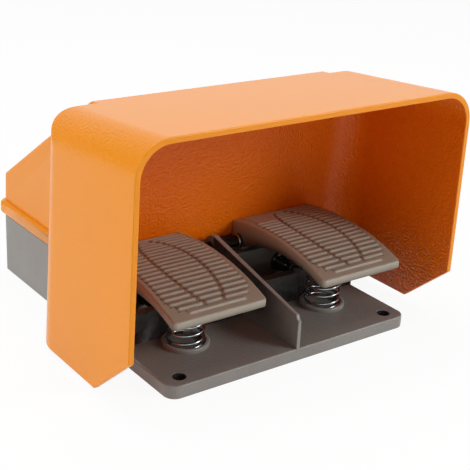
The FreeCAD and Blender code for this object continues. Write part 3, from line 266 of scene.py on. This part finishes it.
COATS = {
    # The orange coat's grimy colour is painted shade: a darker, redder orange for the guard's inside and
    # corners.
    "orange_coat": dict(colour=(0.84, 0.282, 0.009), rough=0.26, peel=640.0, depth=0.00060, specular=0.27,
                        mottling=0.015, grimy_and_shaded=(0.80, 0.156, 0.002), calm=0.10),
    # The grey coat's grimy colour is painted shade, near black, for the holes, the cross wall, the rib and
    # the plate; its midplane entry paints shade on the rib, darker towards the rear and higher up.
    "grey_coat": dict(colour=(0.268, 0.253, 0.232), rough=0.38, peel=700.0, depth=0.00018, specular=0.36,
                      mottling=0.08, grimy_and_shaded=(0.018, 0.015, 0.013),
                      midplane=dict(half=0.004, start=-0.104, full=-0.076, end=-0.0186, amount=0.72)),
    # The pedal coat's worn colour is wear plus a painted highlight on the bars; its grimy colour is grime
    # plus painted shade in the tread's gaps, and painted shade alone in the pits and on the skirts.
    "pedal_coat": dict(colour=(0.284, 0.248, 0.190), rough=0.44, peel=800.0, depth=0.00014, specular=0.42,
                       mottling=0.07, grimy_and_shaded=(0.058, 0.034, 0.017), worn_and_highlit=(0.390, 0.350, 0.285)),
}
METALS = {
    "screw_steel": dict(colour=(0.60, 0.60, 0.57), rough=0.32),
    # shaft_steel's near-black colour is painted shade, for a shaft that lies in shade under the pedals.
    "shaft_steel": dict(colour=(0.030, 0.024, 0.020), rough=0.46, grain=(0.2, 1.0, 1.0)),
    "clip_steel": dict(colour=(0.62, 0.61, 0.59), rough=0.30),
    # bush_brass is darkened far below brass as painted shade.
    "bush_brass": dict(colour=(0.12, 0.085, 0.055), rough=0.48),
    "spring_steel": dict(colour=(0.40, 0.42, 0.43), rough=0.16),
    "bracket_steel": dict(colour=(0.58, 0.58, 0.55), rough=0.38, grain=(1.0, 0.15, 1.0)),
    "terminal_brass": dict(colour=(0.65, 0.47, 0.22), rough=0.30),
}
MOULDED = {
    "seal_rubber": dict(colour=(0.022, 0.022, 0.022), rough=0.70),
    "stop_rubber": dict(colour=(0.020, 0.020, 0.020), rough=0.65),
    "washer_steel": dict(colour=(0.018, 0.018, 0.018), rough=0.42),
    "plunger_black": dict(colour=(0.045, 0.046, 0.043), rough=0.16, depth=0.00001, specular=1.0),
    "button_plastic": dict(colour=(0.50, 0.03, 0.02), rough=0.35),
    "switch_plastic": dict(colour=(0.03, 0.03, 0.033), rough=0.45),
    "block_plastic": dict(colour=(0.66, 0.63, 0.54), rough=0.45),
    "gland_plastic": dict(colour=(0.035, 0.035, 0.038), rough=0.42),
}
MATERIALS = {}
for make, finishes in ((coat, COATS), (metal, METALS), (moulded, MOULDED)):
    for name, finish in finishes.items():
        MATERIALS[name] = make(name, **finish)


def dress(thing, slot):
    """Give a CAD node or a piece its material."""
    thing.data.materials.clear()
    thing.data.materials.append(MATERIALS[slot])


# Making pieces

def add_piece(name, mesh, node, smooth=40.0, rides=True):
    """Put a mesh in the scene as the piece that stands for a CAD node. It rides as that node did, unless
    rides is false."""
    piece = bpy.data.objects.new(name, mesh)
    bpy.context.scene.collection.objects.link(piece)
    for polygon in mesh.polygons:
        polygon.use_smooth = True
    mesh.set_sharp_from_angle(angle=math.radians(smooth))
    dress(piece, SLOT_OF[node])
    if rides:
        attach(piece, BODY_OF[node])
    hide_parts(node)
    return piece


def to_frame(x, y, z):
    """A point of the drawing, in millimetres, as a point of the frame."""
    return x * MM, (y - BASE_Y) * MM, z * MM


def to_drawing(point):
    """A point of the frame as a point of the drawing, in millimetres."""
    return point.x / MM, point.y / MM + BASE_Y, point.z / MM


def mesh_from(name, points, faces):
    """A mesh from drawn points, with its faces turned outward."""
    mesh = bpy.data.meshes.new(name)
    mesh.from_pydata([to_frame(*point) for point in points], [], faces)
    mesh.validate()
    work = bmesh.new()
    work.from_mesh(mesh)
    bmesh.ops.recalc_face_normals(work, faces=work.faces)
    work.to_mesh(mesh)
    work.free()
    return mesh


def softened(node, *passes, shape=None, wear=None, clamp=True):
    """The CAD node again, with its sharp outer edges rounded as a casting's or a machined piece's are.

    Each pass is a width in millimetres and a test of which edges it rounds. Shape moves a point, and the wear
    function gives a face an amount of wear and painted shade, both in drawing coordinates."""
    flat, sharp = math.radians(0.25), math.radians(32.0)
    source = NODES[node]
    work = bmesh.new()
    work.from_mesh(source.data)
    work.transform(source.matrix_world)
    bmesh.ops.remove_doubles(work, verts=work.verts, dist=1e-6)
    bmesh.ops.dissolve_limit(work, angle_limit=flat, verts=work.verts, edges=work.edges)
    if shape:
        for point in work.verts:
            point.co = to_frame(*shape(*to_drawing(point.co)))
    for width, wanted in passes:
        edges = [edge for edge in work.edges if len(edge.link_faces) == 2 and edge.is_convex
                 and edge.calc_face_angle(0.0) > sharp and wanted(edge)]
        bmesh.ops.bevel(work, geom=edges, offset=width * MM, offset_type="OFFSET", segments=3, profile=0.5,
                        affect="EDGES", clamp_overlap=clamp)
    mesh = bpy.data.meshes.new(node + "_soft")
    work.to_mesh(mesh)
    work.free()
    if wear:
        amounts = mesh.attributes.new("wear", "FLOAT", "FACE")
        for amount, face in zip(amounts.data, mesh.polygons):
            amount.value = wear(*to_drawing(face.center), face.normal)
    piece = add_piece(node + "_soft", mesh, node)
    normals = piece.modifiers.new("weighted", "WEIGHTED_NORMAL")
    normals.keep_sharp = True


def smooth_step(value):
    """0 below 0, 1 above 1 and a smooth rise between."""
    value = min(max(value, 0.0), 1.0)
    return value * value * (3 - 2 * value)


def lathe(points, faces, profile, centre, axis, steps=48, closed=True):
    """Add a turned shape to lists of points and faces: profile of (along, radius) round an axis."""
    start = len(points)
    x, y, z = centre
    for along, radius in profile:
        for k in range(steps):
            angle = 2 * math.pi * k / steps
            u, v = radius * math.cos(angle), radius * math.sin(angle)
            out_x, out_y, out_z = {"x": (along, u, v), "y": (u, along, v), "z": (u, v, along)}[axis]
            points.append((x + out_x, y + out_y, z + out_z))
    rings = len(profile)
    for ring in range(rings if closed else rings - 1):
        near, far = start + ring * steps, start + (ring + 1) % rings * steps
        for k in range(steps):
            n = (k + 1) % steps
            faces.append((near + k, near + n, far + n, far + k))
    if not closed:
        for ring in (0, rings - 1):
            faces.append(tuple(start + ring * steps + k for k in range(steps)))


BEND = 0.3      # how far from its two faces a rounded edge's middle lies, as a share of its size


def rounded_bar(outer, start, stop, edge, inner=None):
    """Profile of a turned bar, or of a ring with a bore, with rounded outer edges."""
    bends = [(0.0, 1.0), (BEND, BEND), (1.0, 0.0)]
    first = [(start + edge * a, outer - edge * b) for a, b in bends]
    last = [(stop - edge * a, outer - edge * b) for a, b in reversed(bends)]
    return first + last + ([(stop, inner), (start, inner)] if inner else [])


def prism(points, faces, outline, x0, x1):
    """Add a side view, drawn in Y and Z, stretched between two places across."""
    start, count = len(points), len(outline)
    points.extend((x, y, z) for x in (x0, x1) for y, z in outline)
    for k in range(count):
        n = (k + 1) % count
        faces.append((start + k, start + n, start + count + n, start + count + k))
    faces.append(tuple(start + k for k in range(count)))
    faces.append(tuple(start + count + k for k in range(count)))


# Pedals

# Lip and heel are the top's heights at front and rear, crown is the radius between them, skin is the wall,
# edge and foot are the roundings above and below, and droop is how many degrees lower the pedal hangs.
PEDAL = {
    "x": 59.0, "half": 35.45, "front": 6.2, "rear": 109.6, "lip": 49.4, "heel": 57.7, "crown": 180.0,
    "skin": 4.0, "front_corner": 3.0, "rear_corner": 1.2, "edge": 1.4, "foot": 0.9, "lip_bottom": 44.3,
    "heel_bottom": 38.3, "droop": {"left": 0.7, "right": 0.0}}
# The skirt's lower edge runs from the lip on two arcs, by way of the middle, to the hub, and slopes down to
# the heel behind it.
SKIRT = {
    "lip_end": 10.0, "middle": (62.0, 50.8), "hub": (97.8, 39.8), "front_arc": 94.0, "rear_arc": 92.0,
    "heel_slope": 0.47}
# Rows of bars lie a pitch apart from the first to the last, and are shorter over the front and rear rows. A
# channel draws a leaf in them, and a pad replaces the rear rows left of the leaf.
TREAD = {
    "pitch": 4.6, "width": 1.9, "height": 0.95, "first": 5.6, "last": 100.9, "half": 31.2, "soft": 1.3,
    "front_rows": 3.2, "front_curve": 0.92, "rear_rows": 2.2, "rear_curve": 2.2,
    "leaf_middle": 50.0, "leaf_length": 46.0, "leaf_half": 14.7, "leaf_least": 2.0,
    "channel": 2.4, "channel_depth": 0.3, "channel_soft": 0.7, "channel_first": 8.6,
    "pit_radius": 1.25, "pit_depth": 0.35, "pit_shift": 0.4,
    "pad_start": 81.0, "pad_side": 29.2, "pad_rear": 104.6, "pad_lead": 1.0, "pad_height": 0.55,
    "pad_soft": 1.2}
MESH_STEP = {"along": 0.36, "across": 0.68}
# Above 0 worn, and on the bars also a painted highlight; below 0 grimy, and in the gaps also painted shade,
# while the pits and the skirts take painted shade only.
WEAR_AND_SHADING = {
    "bar": 0.75, "gap": -0.42, "outer_bar": 0.5, "pit": -0.9, "pad": 0.3, "rim": 0.6, "skirt_front": -0.45,
    "skirt_rear": -1.0}
SHAFT = (101.0, 44.8)
SPRING = {
    "y": 45.2, "wire": 0.95, "coil": 11.85, "low": 9.0, "high": 54.0, "turns": 8.5, "end_rise": 2.5,
    "start": 160.0, "still_foot": 3.0, "still_head": 4.0}
PLUNGER_Z = 22.5


def on_arc(depth, first, last, radius):
    """Height at a depth on an arc between two points, bulging up."""
    (y0, z0), (y1, z1) = first, last
    chord = math.hypot(y1 - y0, z1 - z0)
    rise = math.sqrt(radius ** 2 - chord ** 2 / 4)
    centre_y = (y0 + y1) / 2 + (z1 - z0) / chord * rise
    centre_z = (z0 + z1) / 2 - (y1 - y0) / chord * rise
    return centre_z + math.sqrt(radius ** 2 - (depth - centre_y) ** 2)


def crown(depth):
    """Height of the pedal's top, without its tread."""
    return on_arc(depth, (PEDAL["front"], PEDAL["lip"]), (PEDAL["rear"], PEDAL["heel"]), PEDAL["crown"])


def skirt_foot(depth):
    """Height of the skirt's lower edge: low lip, high middle, low round the shaft."""
    lip_end, middle, hub = (SKIRT["lip_end"], PEDAL["lip_bottom"]), SKIRT["middle"], SKIRT["hub"]
    if depth < lip_end[0]:
        return PEDAL["lip_bottom"]
    if depth < middle[0]:
        return on_arc(depth, lip_end, middle, SKIRT["front_arc"])
    if depth < hub[0]:
        return on_arc(depth, middle, hub, SKIRT["rear_arc"])
    return max(PEDAL["heel_bottom"], hub[1] - (depth - hub[0]) * SKIRT["heel_slope"])


def leaf_at(depth):
    """Half the width of the leaf drawn on the tread, at a depth from the pedal's front."""
    share = (depth - TREAD["leaf_middle"]) / TREAD["leaf_length"]
    return TREAD["leaf_half"] * math.sqrt(max(1 - share * share, 0.0))


def tread_rows():
    """Each row of the tread: its depth and the spans that its bars fill."""
    narrowing = PEDAL["rear"] - PEDAL["front"] - TREAD["pitch"] * TREAD["rear_rows"]
    gap = TREAD["channel"] / 2
    rows = []
    depth = TREAD["first"]
    while depth < TREAD["last"]:
        row = len(rows)
        reach = TREAD["half"] - max(TREAD["front_rows"] - row, 0.0) ** 2 * TREAD["front_curve"]
        reach -= max((depth - narrowing) / TREAD["pitch"], 0.0) ** 2 * TREAD["rear_curve"]
        leaf = leaf_at(depth)
        spans = [(-reach, reach)]
        if leaf > gap + TREAD["leaf_least"] and row:
            spans = [(-reach, -leaf - gap), (-leaf + gap, leaf - gap), (leaf + gap, reach)]
            if depth > TREAD["pad_start"]:
                spans = spans[1:]
        rows.append((PEDAL["front"] + depth, spans))
        depth += TREAD["pitch"]
    return rows


def tread_rise(x, y, rows):
    """Height of the tread above the crowned top, and its wear and painted shading: round-ended bars with a
    pit between rows where a bar starts, a shallow channel along the leaf, and a smooth pad behind it on the
    left."""
    depth = y - PEDAL["front"]
    row = min(max(round((depth - TREAD["first"]) / TREAD["pitch"]), 0), len(rows) - 1)
    middle, spans = rows[row]
    radius = TREAD["width"] / 2
    bar = 0.0
    for start, stop in spans:
        beside = max(start + radius - x, x - stop + radius, 0.0)
        beyond = math.hypot(beside, y - middle) - radius
        bar = max(bar, smooth_step(0.5 - beyond / TREAD["soft"]))
    between = abs(abs(y - middle) - TREAD["pitch"] / 2)
    pit = max(smooth_step(TREAD["pit_radius"] - math.hypot(x - start + TREAD["pit_shift"], between))
              for start, _ in spans)
    rise = bar * TREAD["height"] - TREAD["pit_depth"] * pit

    leaf = leaf_at(depth)
    if abs(depth - TREAD["leaf_middle"]) < TREAD["leaf_length"] and depth > TREAD["channel_first"]:
        away = abs(abs(x) - leaf) - TREAD["channel"] / 2 + TREAD["channel_soft"]
        rise -= TREAD["channel_depth"] * smooth_step(0.5 - away) * (1 - bar)

    inside = min(x + TREAD["pad_side"], -leaf - TREAD["channel"] / 2 - x,
                 depth - TREAD["pad_start"] + TREAD["pad_lead"], TREAD["pad_rear"] - y)
    pad = smooth_step(0.5 + inside / TREAD["pad_soft"])
    return max(rise, TREAD["pad_height"] * pad), tread_wear_and_shading(x, y, rows, spans, bar, pit, pad)


def tread_wear_and_shading(x, y, rows, spans, bar, pit, pad):
    """Bars are worn and take a painted highlight, and the gaps between them are grimy and take painted shade,
    fading out round the tread's outline; the pits take painted shade.
    """
    depth = y - PEDAL["front"]
    margin, fade, lip = 1.5, 2.0, 4.0
    start = min(first for first, _ in spans) - margin
    stop = max(last for _, last in spans) + margin
    field = smooth_step(min(x - start, stop - x) / fade)
    field *= smooth_step((depth - TREAD["first"] - margin) / fade)
    field *= smooth_step((rows[-1][0] + fade - y) / fade)
    wear = (bar ** 3 * WEAR_AND_SHADING["bar"] + WEAR_AND_SHADING["gap"] * (1 - bar)) * field
    wear += bar * (1 - field) * WEAR_AND_SHADING["outer_bar"] + WEAR_AND_SHADING["pit"] * pit * smooth_step(depth - lip)
    return wear * (1 - pad) + WEAR_AND_SHADING["pad"] * pad


def half_width(y, inset):
    """Half the pedal's width at a depth, inside an inset outline with rounded corners."""
    half = PEDAL["half"] - inset
    from_front, from_rear = y - PEDAL["front"] - inset, PEDAL["rear"] - inset - y
    for edge, corner in ((from_front, PEDAL["front_corner"]), (from_rear, PEDAL["rear_corner"])):
        radius = max(corner - inset, 0.3)
        if edge < radius:
            half = PEDAL["half"] - inset - radius + math.sqrt(max(radius ** 2 - (radius - edge) ** 2, 0.0))
    return half


def spaced(length, step):
    """Distances from 0 to length: close together near both ends, and about a step apart between."""
    fine, band, grades = 1.5, 2.0, 6
    ends = [fine * (i / grades) ** 2 for i in range(grades + 1)]
    count = max(int((length - 2 * band) / step), 2)
    middle = [band + (length - 2 * band) * i / count for i in range(count + 1)]
    return ends + middle + [length - end for end in reversed(ends)]


def shell_top(depths, shares):
    """Points of the pedal's top, row by row from the front, with the wear and painted shading at each, and
    its faces.
    """
    rows = tread_rows()
    edge = PEDAL["edge"]
    points, worn_and_highlit, faces = [], [], []
    for y in depths:
        wide = half_width(y, 0.0)
        for share in shares:
            x = share * wide
            away = min(wide - abs(x), y - PEDAL["front"], PEDAL["rear"] - y)
            drop = edge - math.sqrt(max(edge ** 2 - max(edge - away, 0.0) ** 2, 0.0))
            rise, wear = tread_rise(x, y, rows)
            points.append((x, y, crown(y) + rise - drop))
            worn_and_highlit.append(wear if away > edge else WEAR_AND_SHADING["rim"] * (1 - away / edge))
    across = len(shares)
    for j in range(len(depths) - 1):
        for i in range(across - 1):
            a = j * across + i
            faces.append((a, a + 1, a + across + 1, a + across))
    return points, worn_and_highlit, faces


def outer_loop(across, along):
    """Indices of a grid's outer points, from its first corner along its first row."""
    front = list(range(across))
    right = [j * across + across - 1 for j in range(1, along)]
    rear = [(along - 1) * across + i for i in range(across - 2, -1, -1)]
    left = [j * across for j in range(along - 2, 0, -1)]
    return front + right + rear + left


def shell_skirt(points, worn_and_highlit, faces, depths, shares):
    """Add the skirts under the top's outer points, down to the foot and up inside, and give the last ring."""
    length = PEDAL["rear"] - PEDAL["front"]
    across = len(shares)
    loop = outer_loop(across, len(depths))
    foot, skin = PEDAL["foot"], PEDAL["skin"]
    # The skirts take painted shade, darker towards the rear.
    shade_start, shade_length = 12.0, 50.0
    bend = foot * BEND
    added = WEAR_AND_SHADING["skirt_rear"] - WEAR_AND_SHADING["skirt_front"]
    previous = loop
    for inset, lift in ((0.0, foot), (bend, bend), (foot, 0.0), (skin - foot, 0.0), (skin - bend, bend),
                        (skin, foot), (skin, None)):
        scale = (length - 2 * inset) / length
        ring = []
        for corner in loop:
            y = PEDAL["front"] + inset + (depths[corner // across] - PEDAL["front"]) * scale
            x = shares[corner % across] * half_width(y, inset)
            ring.append(len(points))
            points.append((x, y, crown(y) - skin if lift is None else skirt_foot(y) + lift))
            worn_and_highlit.append(WEAR_AND_SHADING["skirt_front"] + added * smooth_step((y - shade_start) / shade_length))
        for k in range(len(loop)):
            n = (k + 1) % len(loop)
            faces.append((previous[n], previous[k], ring[k], ring[n]))
        previous = ring
    return previous


def close_hollow(faces, ring, across, along):
    """Add the hollow's roof: strips across between the inner ring's two sides."""
    front, right = ring[:across], ring[across - 1:across + along - 1]
    rear = ring[across + along - 2:2 * across + along - 2]
    left = [ring[0]] + ring[:2 * across + along - 3:-1]
    faces.append(tuple(front) + (right[1], left[1]))
    faces.append(tuple(rear) + (left[-2], right[-2]))
    for j in range(1, along - 2):
        faces.append((left[j], right[j], right[j + 1], left[j + 1]))


def pedal_shell(side, sign):
    """Crowned top with its tread, skirts and rounded edges, and the hollow under it."""
    depths = [PEDAL["front"] + d for d in spaced(PEDAL["rear"] - PEDAL["front"], MESH_STEP["along"])]
    shares = [d / PEDAL["half"] - 1 for d in spaced(2 * PEDAL["half"], MESH_STEP["across"])]
    points, worn_and_highlit, faces = shell_top(depths, shares)
    ring = shell_skirt(points, worn_and_highlit, faces, depths, shares)
    close_hollow(faces, ring, len(shares), len(depths))

    droop = math.radians(PEDAL["droop"][side])
    turned = []
    for x, y, z in points:
        ahead, above = y - SHAFT[0], z - SHAFT[1]
        turned.append((x + sign * PEDAL["x"], SHAFT[0] + ahead * math.cos(droop) - above * math.sin(droop),
                       SHAFT[1] + ahead * math.sin(droop) + above * math.cos(droop)))
    mesh = mesh_from(side + "_pedal_shell", turned, faces)
    wear = mesh.attributes.new("wear", "FLOAT", "POINT")
    for amount, value in zip(wear.data, worn_and_highlit):
        amount.value = value
    add_piece(side + "_pedal_shell", mesh, side + "_pedal", smooth=50.0)


def pedal_works(side, sign):
    """Under the pedal: hubs round the bushes, arm for the stud, stop bosses, the spring's pad and spigot."""
    middle = sign * PEDAL["x"]
    roof = 54.0
    points, faces = [], []

    hub_radius, hub_bore, hub_inside, hub_outside = 7.0, 5.42, 30.5, 35.42
    for out in (-1, 1):
        start, stop = sorted((middle + out * hub_outside, middle + out * hub_inside))
        hub = rounded_bar(hub_radius, start, stop, 0.4, inner=hub_bore)
        lathe(points, faces, hub, (0.0, *SHAFT), "x", 64)

    arm_half = 5.0
    arm = [(71.0, 18.0), (75.2, 18.0), (75.2, 40.0), (83.2, roof), (61.0, roof), (71.0, 36.5)]
    prism(points, faces, arm, middle - arm_half, middle + arm_half)

    boss_radius, boss_foot, boss_y, boss_out = 4.6, 41.1, 62.5, 12.0
    for shift in (-boss_out, boss_out):
        boss = rounded_bar(boss_radius, boss_foot, roof, 0.5)
        lathe(points, faces, boss, (middle + shift, boss_y, 0.0), "z", 32, closed=False)

    pad = rounded_bar(13.8, roof, roof + 1.5, 0.4)
    spigot = rounded_bar(9.9, roof - 3.0, roof + 0.5, 0.8)
    lathe(points, faces, pad, (middle, SPRING["y"], 0.0), "z", 64, closed=False)
    lathe(points, faces, spigot, (middle, SPRING["y"], 0.0), "z", 48, closed=False)

    mesh = mesh_from(side + "_pedal_works", points, faces)
    piece = add_piece(side + "_pedal_works", mesh, side + "_pedal")
    bevel = piece.modifiers.new("soft_edges", "BEVEL")
    bevel.width, bevel.segments, bevel.limit_method = 0.5 * MM, 2, "ANGLE"
    bevel.angle_limit = math.radians(60)


# Springs

def coil_at(turn):
    """The wire's middle after some turns: flat turns at both ends, and an even pitch between."""
    turns, rise = SPRING["turns"], SPRING["end_rise"]
    bottom, top = SPRING["low"] + SPRING["wire"], SPRING["high"] - SPRING["wire"]
    pitch = (top - bottom - 2 * rise) / (turns - 2)
    if turn < 1:
        z = bottom + rise * turn
    elif turn > turns - 1:
        z = top - rise * (turns - turn)
    else:
        z = bottom + rise + pitch * (turn - 1)
    angle = 2 * math.pi * turn + math.radians(SPRING["start"])
    return Vector((SPRING["coil"] * math.cos(angle), SPRING["coil"] * math.sin(angle), z))


def spring(side, sign):
    """Compression spring of round wire with a closed, ground turn at each end."""
    wire, low, high, turns = (SPRING[key] for key in ("wire", "low", "high", "turns"))
    facets, steps, ahead, end_taper = 14, 56, 0.01, 0.55
    points, faces = [], []
    count = int(turns * steps)
    for i in range(count + 1):
        turn = i / steps
        middle = coil_at(turn)
        way = (coil_at(min(turn + ahead, turns)) - coil_at(max(turn - ahead, 0.0))).normalized()
        out = Vector((middle.x, middle.y, 0.0)).normalized()
        up = way.cross(out).normalized()
        radius = wire * (end_taper if i in (0, count) else 1.0)
        for k in range(facets):
            angle = 2 * math.pi * k / facets
            p = middle + out * (radius * math.cos(angle)) + up * (radius * math.sin(angle))
            points.append((p.x + sign * PEDAL["x"], p.y + SPRING["y"], min(max(p.z, low), high)))
    for i in range(count):
        for k in range(facets):
            n = (k + 1) % facets
            faces.append((i * facets + k, i * facets + n, (i + 1) * facets + n, (i + 1) * facets + k))
    faces.append(tuple(range(facets)))
    faces.append(tuple(count * facets + k for k in range(facets)))
    mesh = mesh_from(side + "_spring_coil", points, faces)
    piece = add_piece(side + "_spring_coil", mesh, side + "_spring", smooth=60.0, rides=False)
    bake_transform(piece)


# Plunger sleeves

def sleeve(side, sign):
    """Threaded sleeve with a rounded flange, open for the plunger."""
    front, flange, wall, tail = 83.3, 94.5, 97.0, 112.0
    pitch, depth, outer, bore = 1.5, 0.35, 5.25, 3.36
    flange_radius = 7.1
    profile = [(front, bore), (front, outer - 0.9), (front + 0.5, outer - depth)]
    along = front + 0.7
    while along < flange - pitch:
        profile += [(along, outer - depth), (along + pitch * 0.35, outer), (along + pitch * 0.6, outer)]
        along += pitch
    profile += [(flange - 0.2, outer - depth), (flange, flange_radius - 0.6),
                (flange + 0.25, flange_radius - 0.2), (flange + 0.7, flange_radius),
                (wall, flange_radius), (wall, outer), (tail, outer), (tail, bore)]
    points, faces = [], []
    lathe(points, faces, profile, (sign * PEDAL["x"], 0.0, PLUNGER_Z), "y", 48)
    mesh = mesh_from(side + "_sleeve_turned", points, faces)
    add_piece(side + "_sleeve_turned", mesh, side + "_plunger_sleeve")


# Castings

# The rib between the pedals, and the share of its width that is left where it stands alone.
RIB = {"half": 2.05, "thin": 0.66, "foot": 7.5, "rear": 96.0}
# Where the castings' coats take painted shade, in drawing coordinates. The guard's Y and Z are a point inside
# it, which its inner walls face.
GUARD = {
    "y": 40.0, "z": 85.0, "slack": 5.0, "inner_rear": 114.0, "inner_wear": -1.0, "corner_rear": 85.0,
    "corner_wear": -0.14}
HOLE = {"x": 87.0, "y": 10.5, "reach": 5.2, "wear": -1.0}
CROSS_WALL = {"front": 57.0, "rear": 63.5, "inner": 3.0, "outer": 99.0, "foot": 9.5, "top": 33.0}
RIB_SHADE = {"half": 2.1, "foot": 12.0, "rear": 90.0, "top": 0.6, "side": -0.22}
WALL_SHADE = {"front": -1.0, "top": -0.74}
PLATE_SHADE = {"low": 8.0, "high": 10.0, "top": -0.16}


def middle_of(edge):
    """Middle of an edge in drawing coordinates."""
    return to_drawing((edge.verts[0].co + edge.verts[1].co) / 2)


def on_rim(edge):
    """Whether an edge of the guard belongs to its open front, its chamfers or its foot."""
    front, foot_top, chamfer_rear, chamfer_top = -5.9, 3.6, 34.0, 38.5
    _, y, z = middle_of(edge)
    return y < front or z < foot_top or (z < chamfer_top and y < chamfer_rear)


def on_seat(edge):
    """Whether an edge belongs to a ring that a spring stands in."""
    low, high, radius = 9.5, 12.5, 17.0
    x, y, z = middle_of(edge)
    return low < z < high and math.hypot(abs(x) - PEDAL["x"], y - SPRING["y"]) < radius


def off_seat(edge):
    """Whether an edge belongs to the rest of the base."""
    return not on_seat(edge)


def any_edge(edge):
    """Every edge is rounded."""
    return True


def guard_shade(x, y, z, normal):
    """Painted shade: inside the guard the coat is darker and more saturated, and round its long corners a
    little darker.
    """
    inward = normal.x * -x + normal.y * (GUARD["y"] - y) + normal.z * (GUARD["z"] - z)
    if inward > GUARD["slack"] and y < GUARD["inner_rear"]:
        return GUARD["inner_wear"]
    if y < GUARD["corner_rear"]:
        return GUARD["corner_wear"] * max(abs(normal.x) * normal.z, 0.0)
    return 0.0


def base_shade(x, y, z, normal):
    """Painted shade: the mounting holes' walls are dark, the cross wall and the rib's sides are darkened, the
    plate's top slightly so, and the rib's top is mostly spared the painted shade near the midplane."""
    if math.hypot(abs(x) - HOLE["x"], y - HOLE["y"]) < HOLE["reach"] and abs(normal.z) < 0.5:
        return HOLE["wear"]
    in_wall = (CROSS_WALL["front"] < y < CROSS_WALL["rear"] and CROSS_WALL["foot"] < z < CROSS_WALL["top"]
               and CROSS_WALL["inner"] < abs(x) < CROSS_WALL["outer"])
    if in_wall and (normal.y < -0.5 or normal.z > 0.5):
        return WALL_SHADE["front"] if normal.z < 0.5 else WALL_SHADE["top"]
    if abs(x) < RIB_SHADE["half"] and z > RIB_SHADE["foot"] and y < RIB_SHADE["rear"]:
        if normal.z > 0.2:
            return RIB_SHADE["top"]
        return RIB_SHADE["side"] if abs(normal.x) > 0.9 else 0.0
    on_plate = normal.z > 0.9 and PLATE_SHADE["low"] < z < PLATE_SHADE["high"]
    return PLATE_SHADE["top"] if on_plate else 0.0


def thin_rib(x, y, z):
    """The rib is thinner than the walls that it joins."""
    if abs(x) < RIB["half"] and z > RIB["foot"] and y < RIB["rear"]:
        x *= RIB["thin"]
    return x, y, z


# Studio

WORLD_LIGHT = 0.21
UNDER_BASE = (0.096, 0.112)     # half sizes of the floor that the base covers
LAMPS = (                       # name, place, target, width in metres and power in watts
    ("side_light", (-1.7, 0.25, 0.9), (0, 0, 0.08), 1.2, 15.0),
    ("top_light", (0.0, 0.35, 1.9), (0, 0, 0.1), 1.6, 20.5),
    ("front_light", (1.2, -1.5, 1.0), (0, 0, 0.05), 0.8, 21.0),
    ("low_light", (-0.5, -1.6, 0.35), (0.06, 0.0, 0.03), 0.25, 0.8))


def make_world():
    """An even light from all round, and white where it is seen. Mirrored, it is a white room that is darker
    overhead and at the back on the left."""
    world = bpy.data.worlds.new("studio_world")
    world.use_nodes = True
    bpy.context.scene.world = world
    graph = Graph(world.node_tree)
    graph.tree.nodes.clear()
    way = graph.axes(graph.new("ShaderNodeTexCoord").outputs["Generated"])
    below = graph.span(way["Z"], 1.0, 0.22, 0.44, 0.60, "SMOOTHSTEP")
    right = graph.span(way["X"], 0.15, 1.0, -0.45, 0.10, "SMOOTHSTEP")
    ahead = graph.span(way["Y"], 1.0, 0.0, -0.10, 0.40)
    room = graph.math("MULTIPLY", below, graph.math("MAXIMUM", right, ahead))
    from_camera = graph.new("ShaderNodeLightPath").outputs["Is Camera Ray"]
    seen, light = graph.new("ShaderNodeBackground"), graph.new("ShaderNodeBackground")
    graph.link(graph.math("MAXIMUM", room, from_camera), seen.inputs["Color"])
    seen.inputs["Strength"].default_value = 1.0
    light.inputs["Color"].default_value = (1, 1, 1, 1)
    light.inputs["Strength"].default_value = WORLD_LIGHT
    mixed = graph.layered(graph.looking(), light.outputs[0], seen.outputs[0])
    graph.link(mixed, graph.new("ShaderNodeOutputWorld").inputs["Surface"])


def make_floor():
    """Pale paper that glows where it is seen, with the object's shadow, but not under the base."""
    reach, drop, glow_share = 6.0, 0.0002, 0.93
    mesh = bpy.data.meshes.new("floor")
    corners = [(-reach, -reach, 0), (reach, -reach, 0), (reach, reach, 0), (-reach, reach, 0)]
    mesh.from_pydata(corners, [], [(0, 1, 2, 3)])
    floor = bpy.data.objects.new("floor", mesh)
    bpy.context.scene.collection.objects.link(floor)
    floor.location.z = -drop
    r = Recipe("floor_paper")
    r.put(Base_Color=(0.95, 0.95, 0.95), Roughness=0.75, Specular_IOR_Level=0.2)
    glow = r.new("ShaderNodeEmission")
    glow.inputs["Color"].default_value = (1, 1, 1, 1)
    glow.inputs["Strength"].default_value = 1.0
    place = r.axes(r.place)
    aside, along = (r.math("DIVIDE", r.math("ABSOLUTE", place[axis]), half)
                    for axis, half in zip("XY", UNDER_BASE))
    beside = r.math("GREATER_THAN", r.math("MAXIMUM", aside, along), 1.0)
    share = r.math("MULTIPLY", r.math("MULTIPLY", r.looking(), glow_share), beside)
    mixed = r.layered(share, r.shader.outputs[0], glow.outputs[0])
    r.link(mixed, r.tree.nodes["Material Output"].inputs["Surface"])
    mesh.materials.append(r.material)


def make_lamps():
    """Four round area lamps, each aimed at its target."""
    for name, place, target, across, power in LAMPS:
        data = bpy.data.lights.new(name, "AREA")
        data.shape = "DISK"
        data.size = across
        data.energy = power
        lamp = bpy.data.objects.new(name, data)
        bpy.context.scene.collection.objects.link(lamp)
        lamp.location = place
        lamp.rotation_euler = (Vector(target) - Vector(place)).to_track_quat("-Z", "Y").to_euler()


for name, slot in SLOT_OF.items():
    dress(NODES[name], slot)
for side, sign in SIDES:
    pedal_shell(side, sign)
    pedal_works(side, sign)
    spring(side, sign)
    sleeve(side, sign)
softened("hood_cover", (1.5, on_rim), wear=guard_shade)
softened("base_casting", (1.2, on_seat), (0.5, off_seat), shape=thin_rib, wear=base_shade, clamp=False)
for node in ("gland_body", "gland_cap", "heel_pads", "stop_bumpers", "shaft_clips", "shaft_washers",
             "pivot_shaft"):
    softened(node, (0.3, any_edge))

make_camera()
make_world()
make_floor()
make_lamps()
bpy.context.scene.view_settings.view_transform = "Standard"
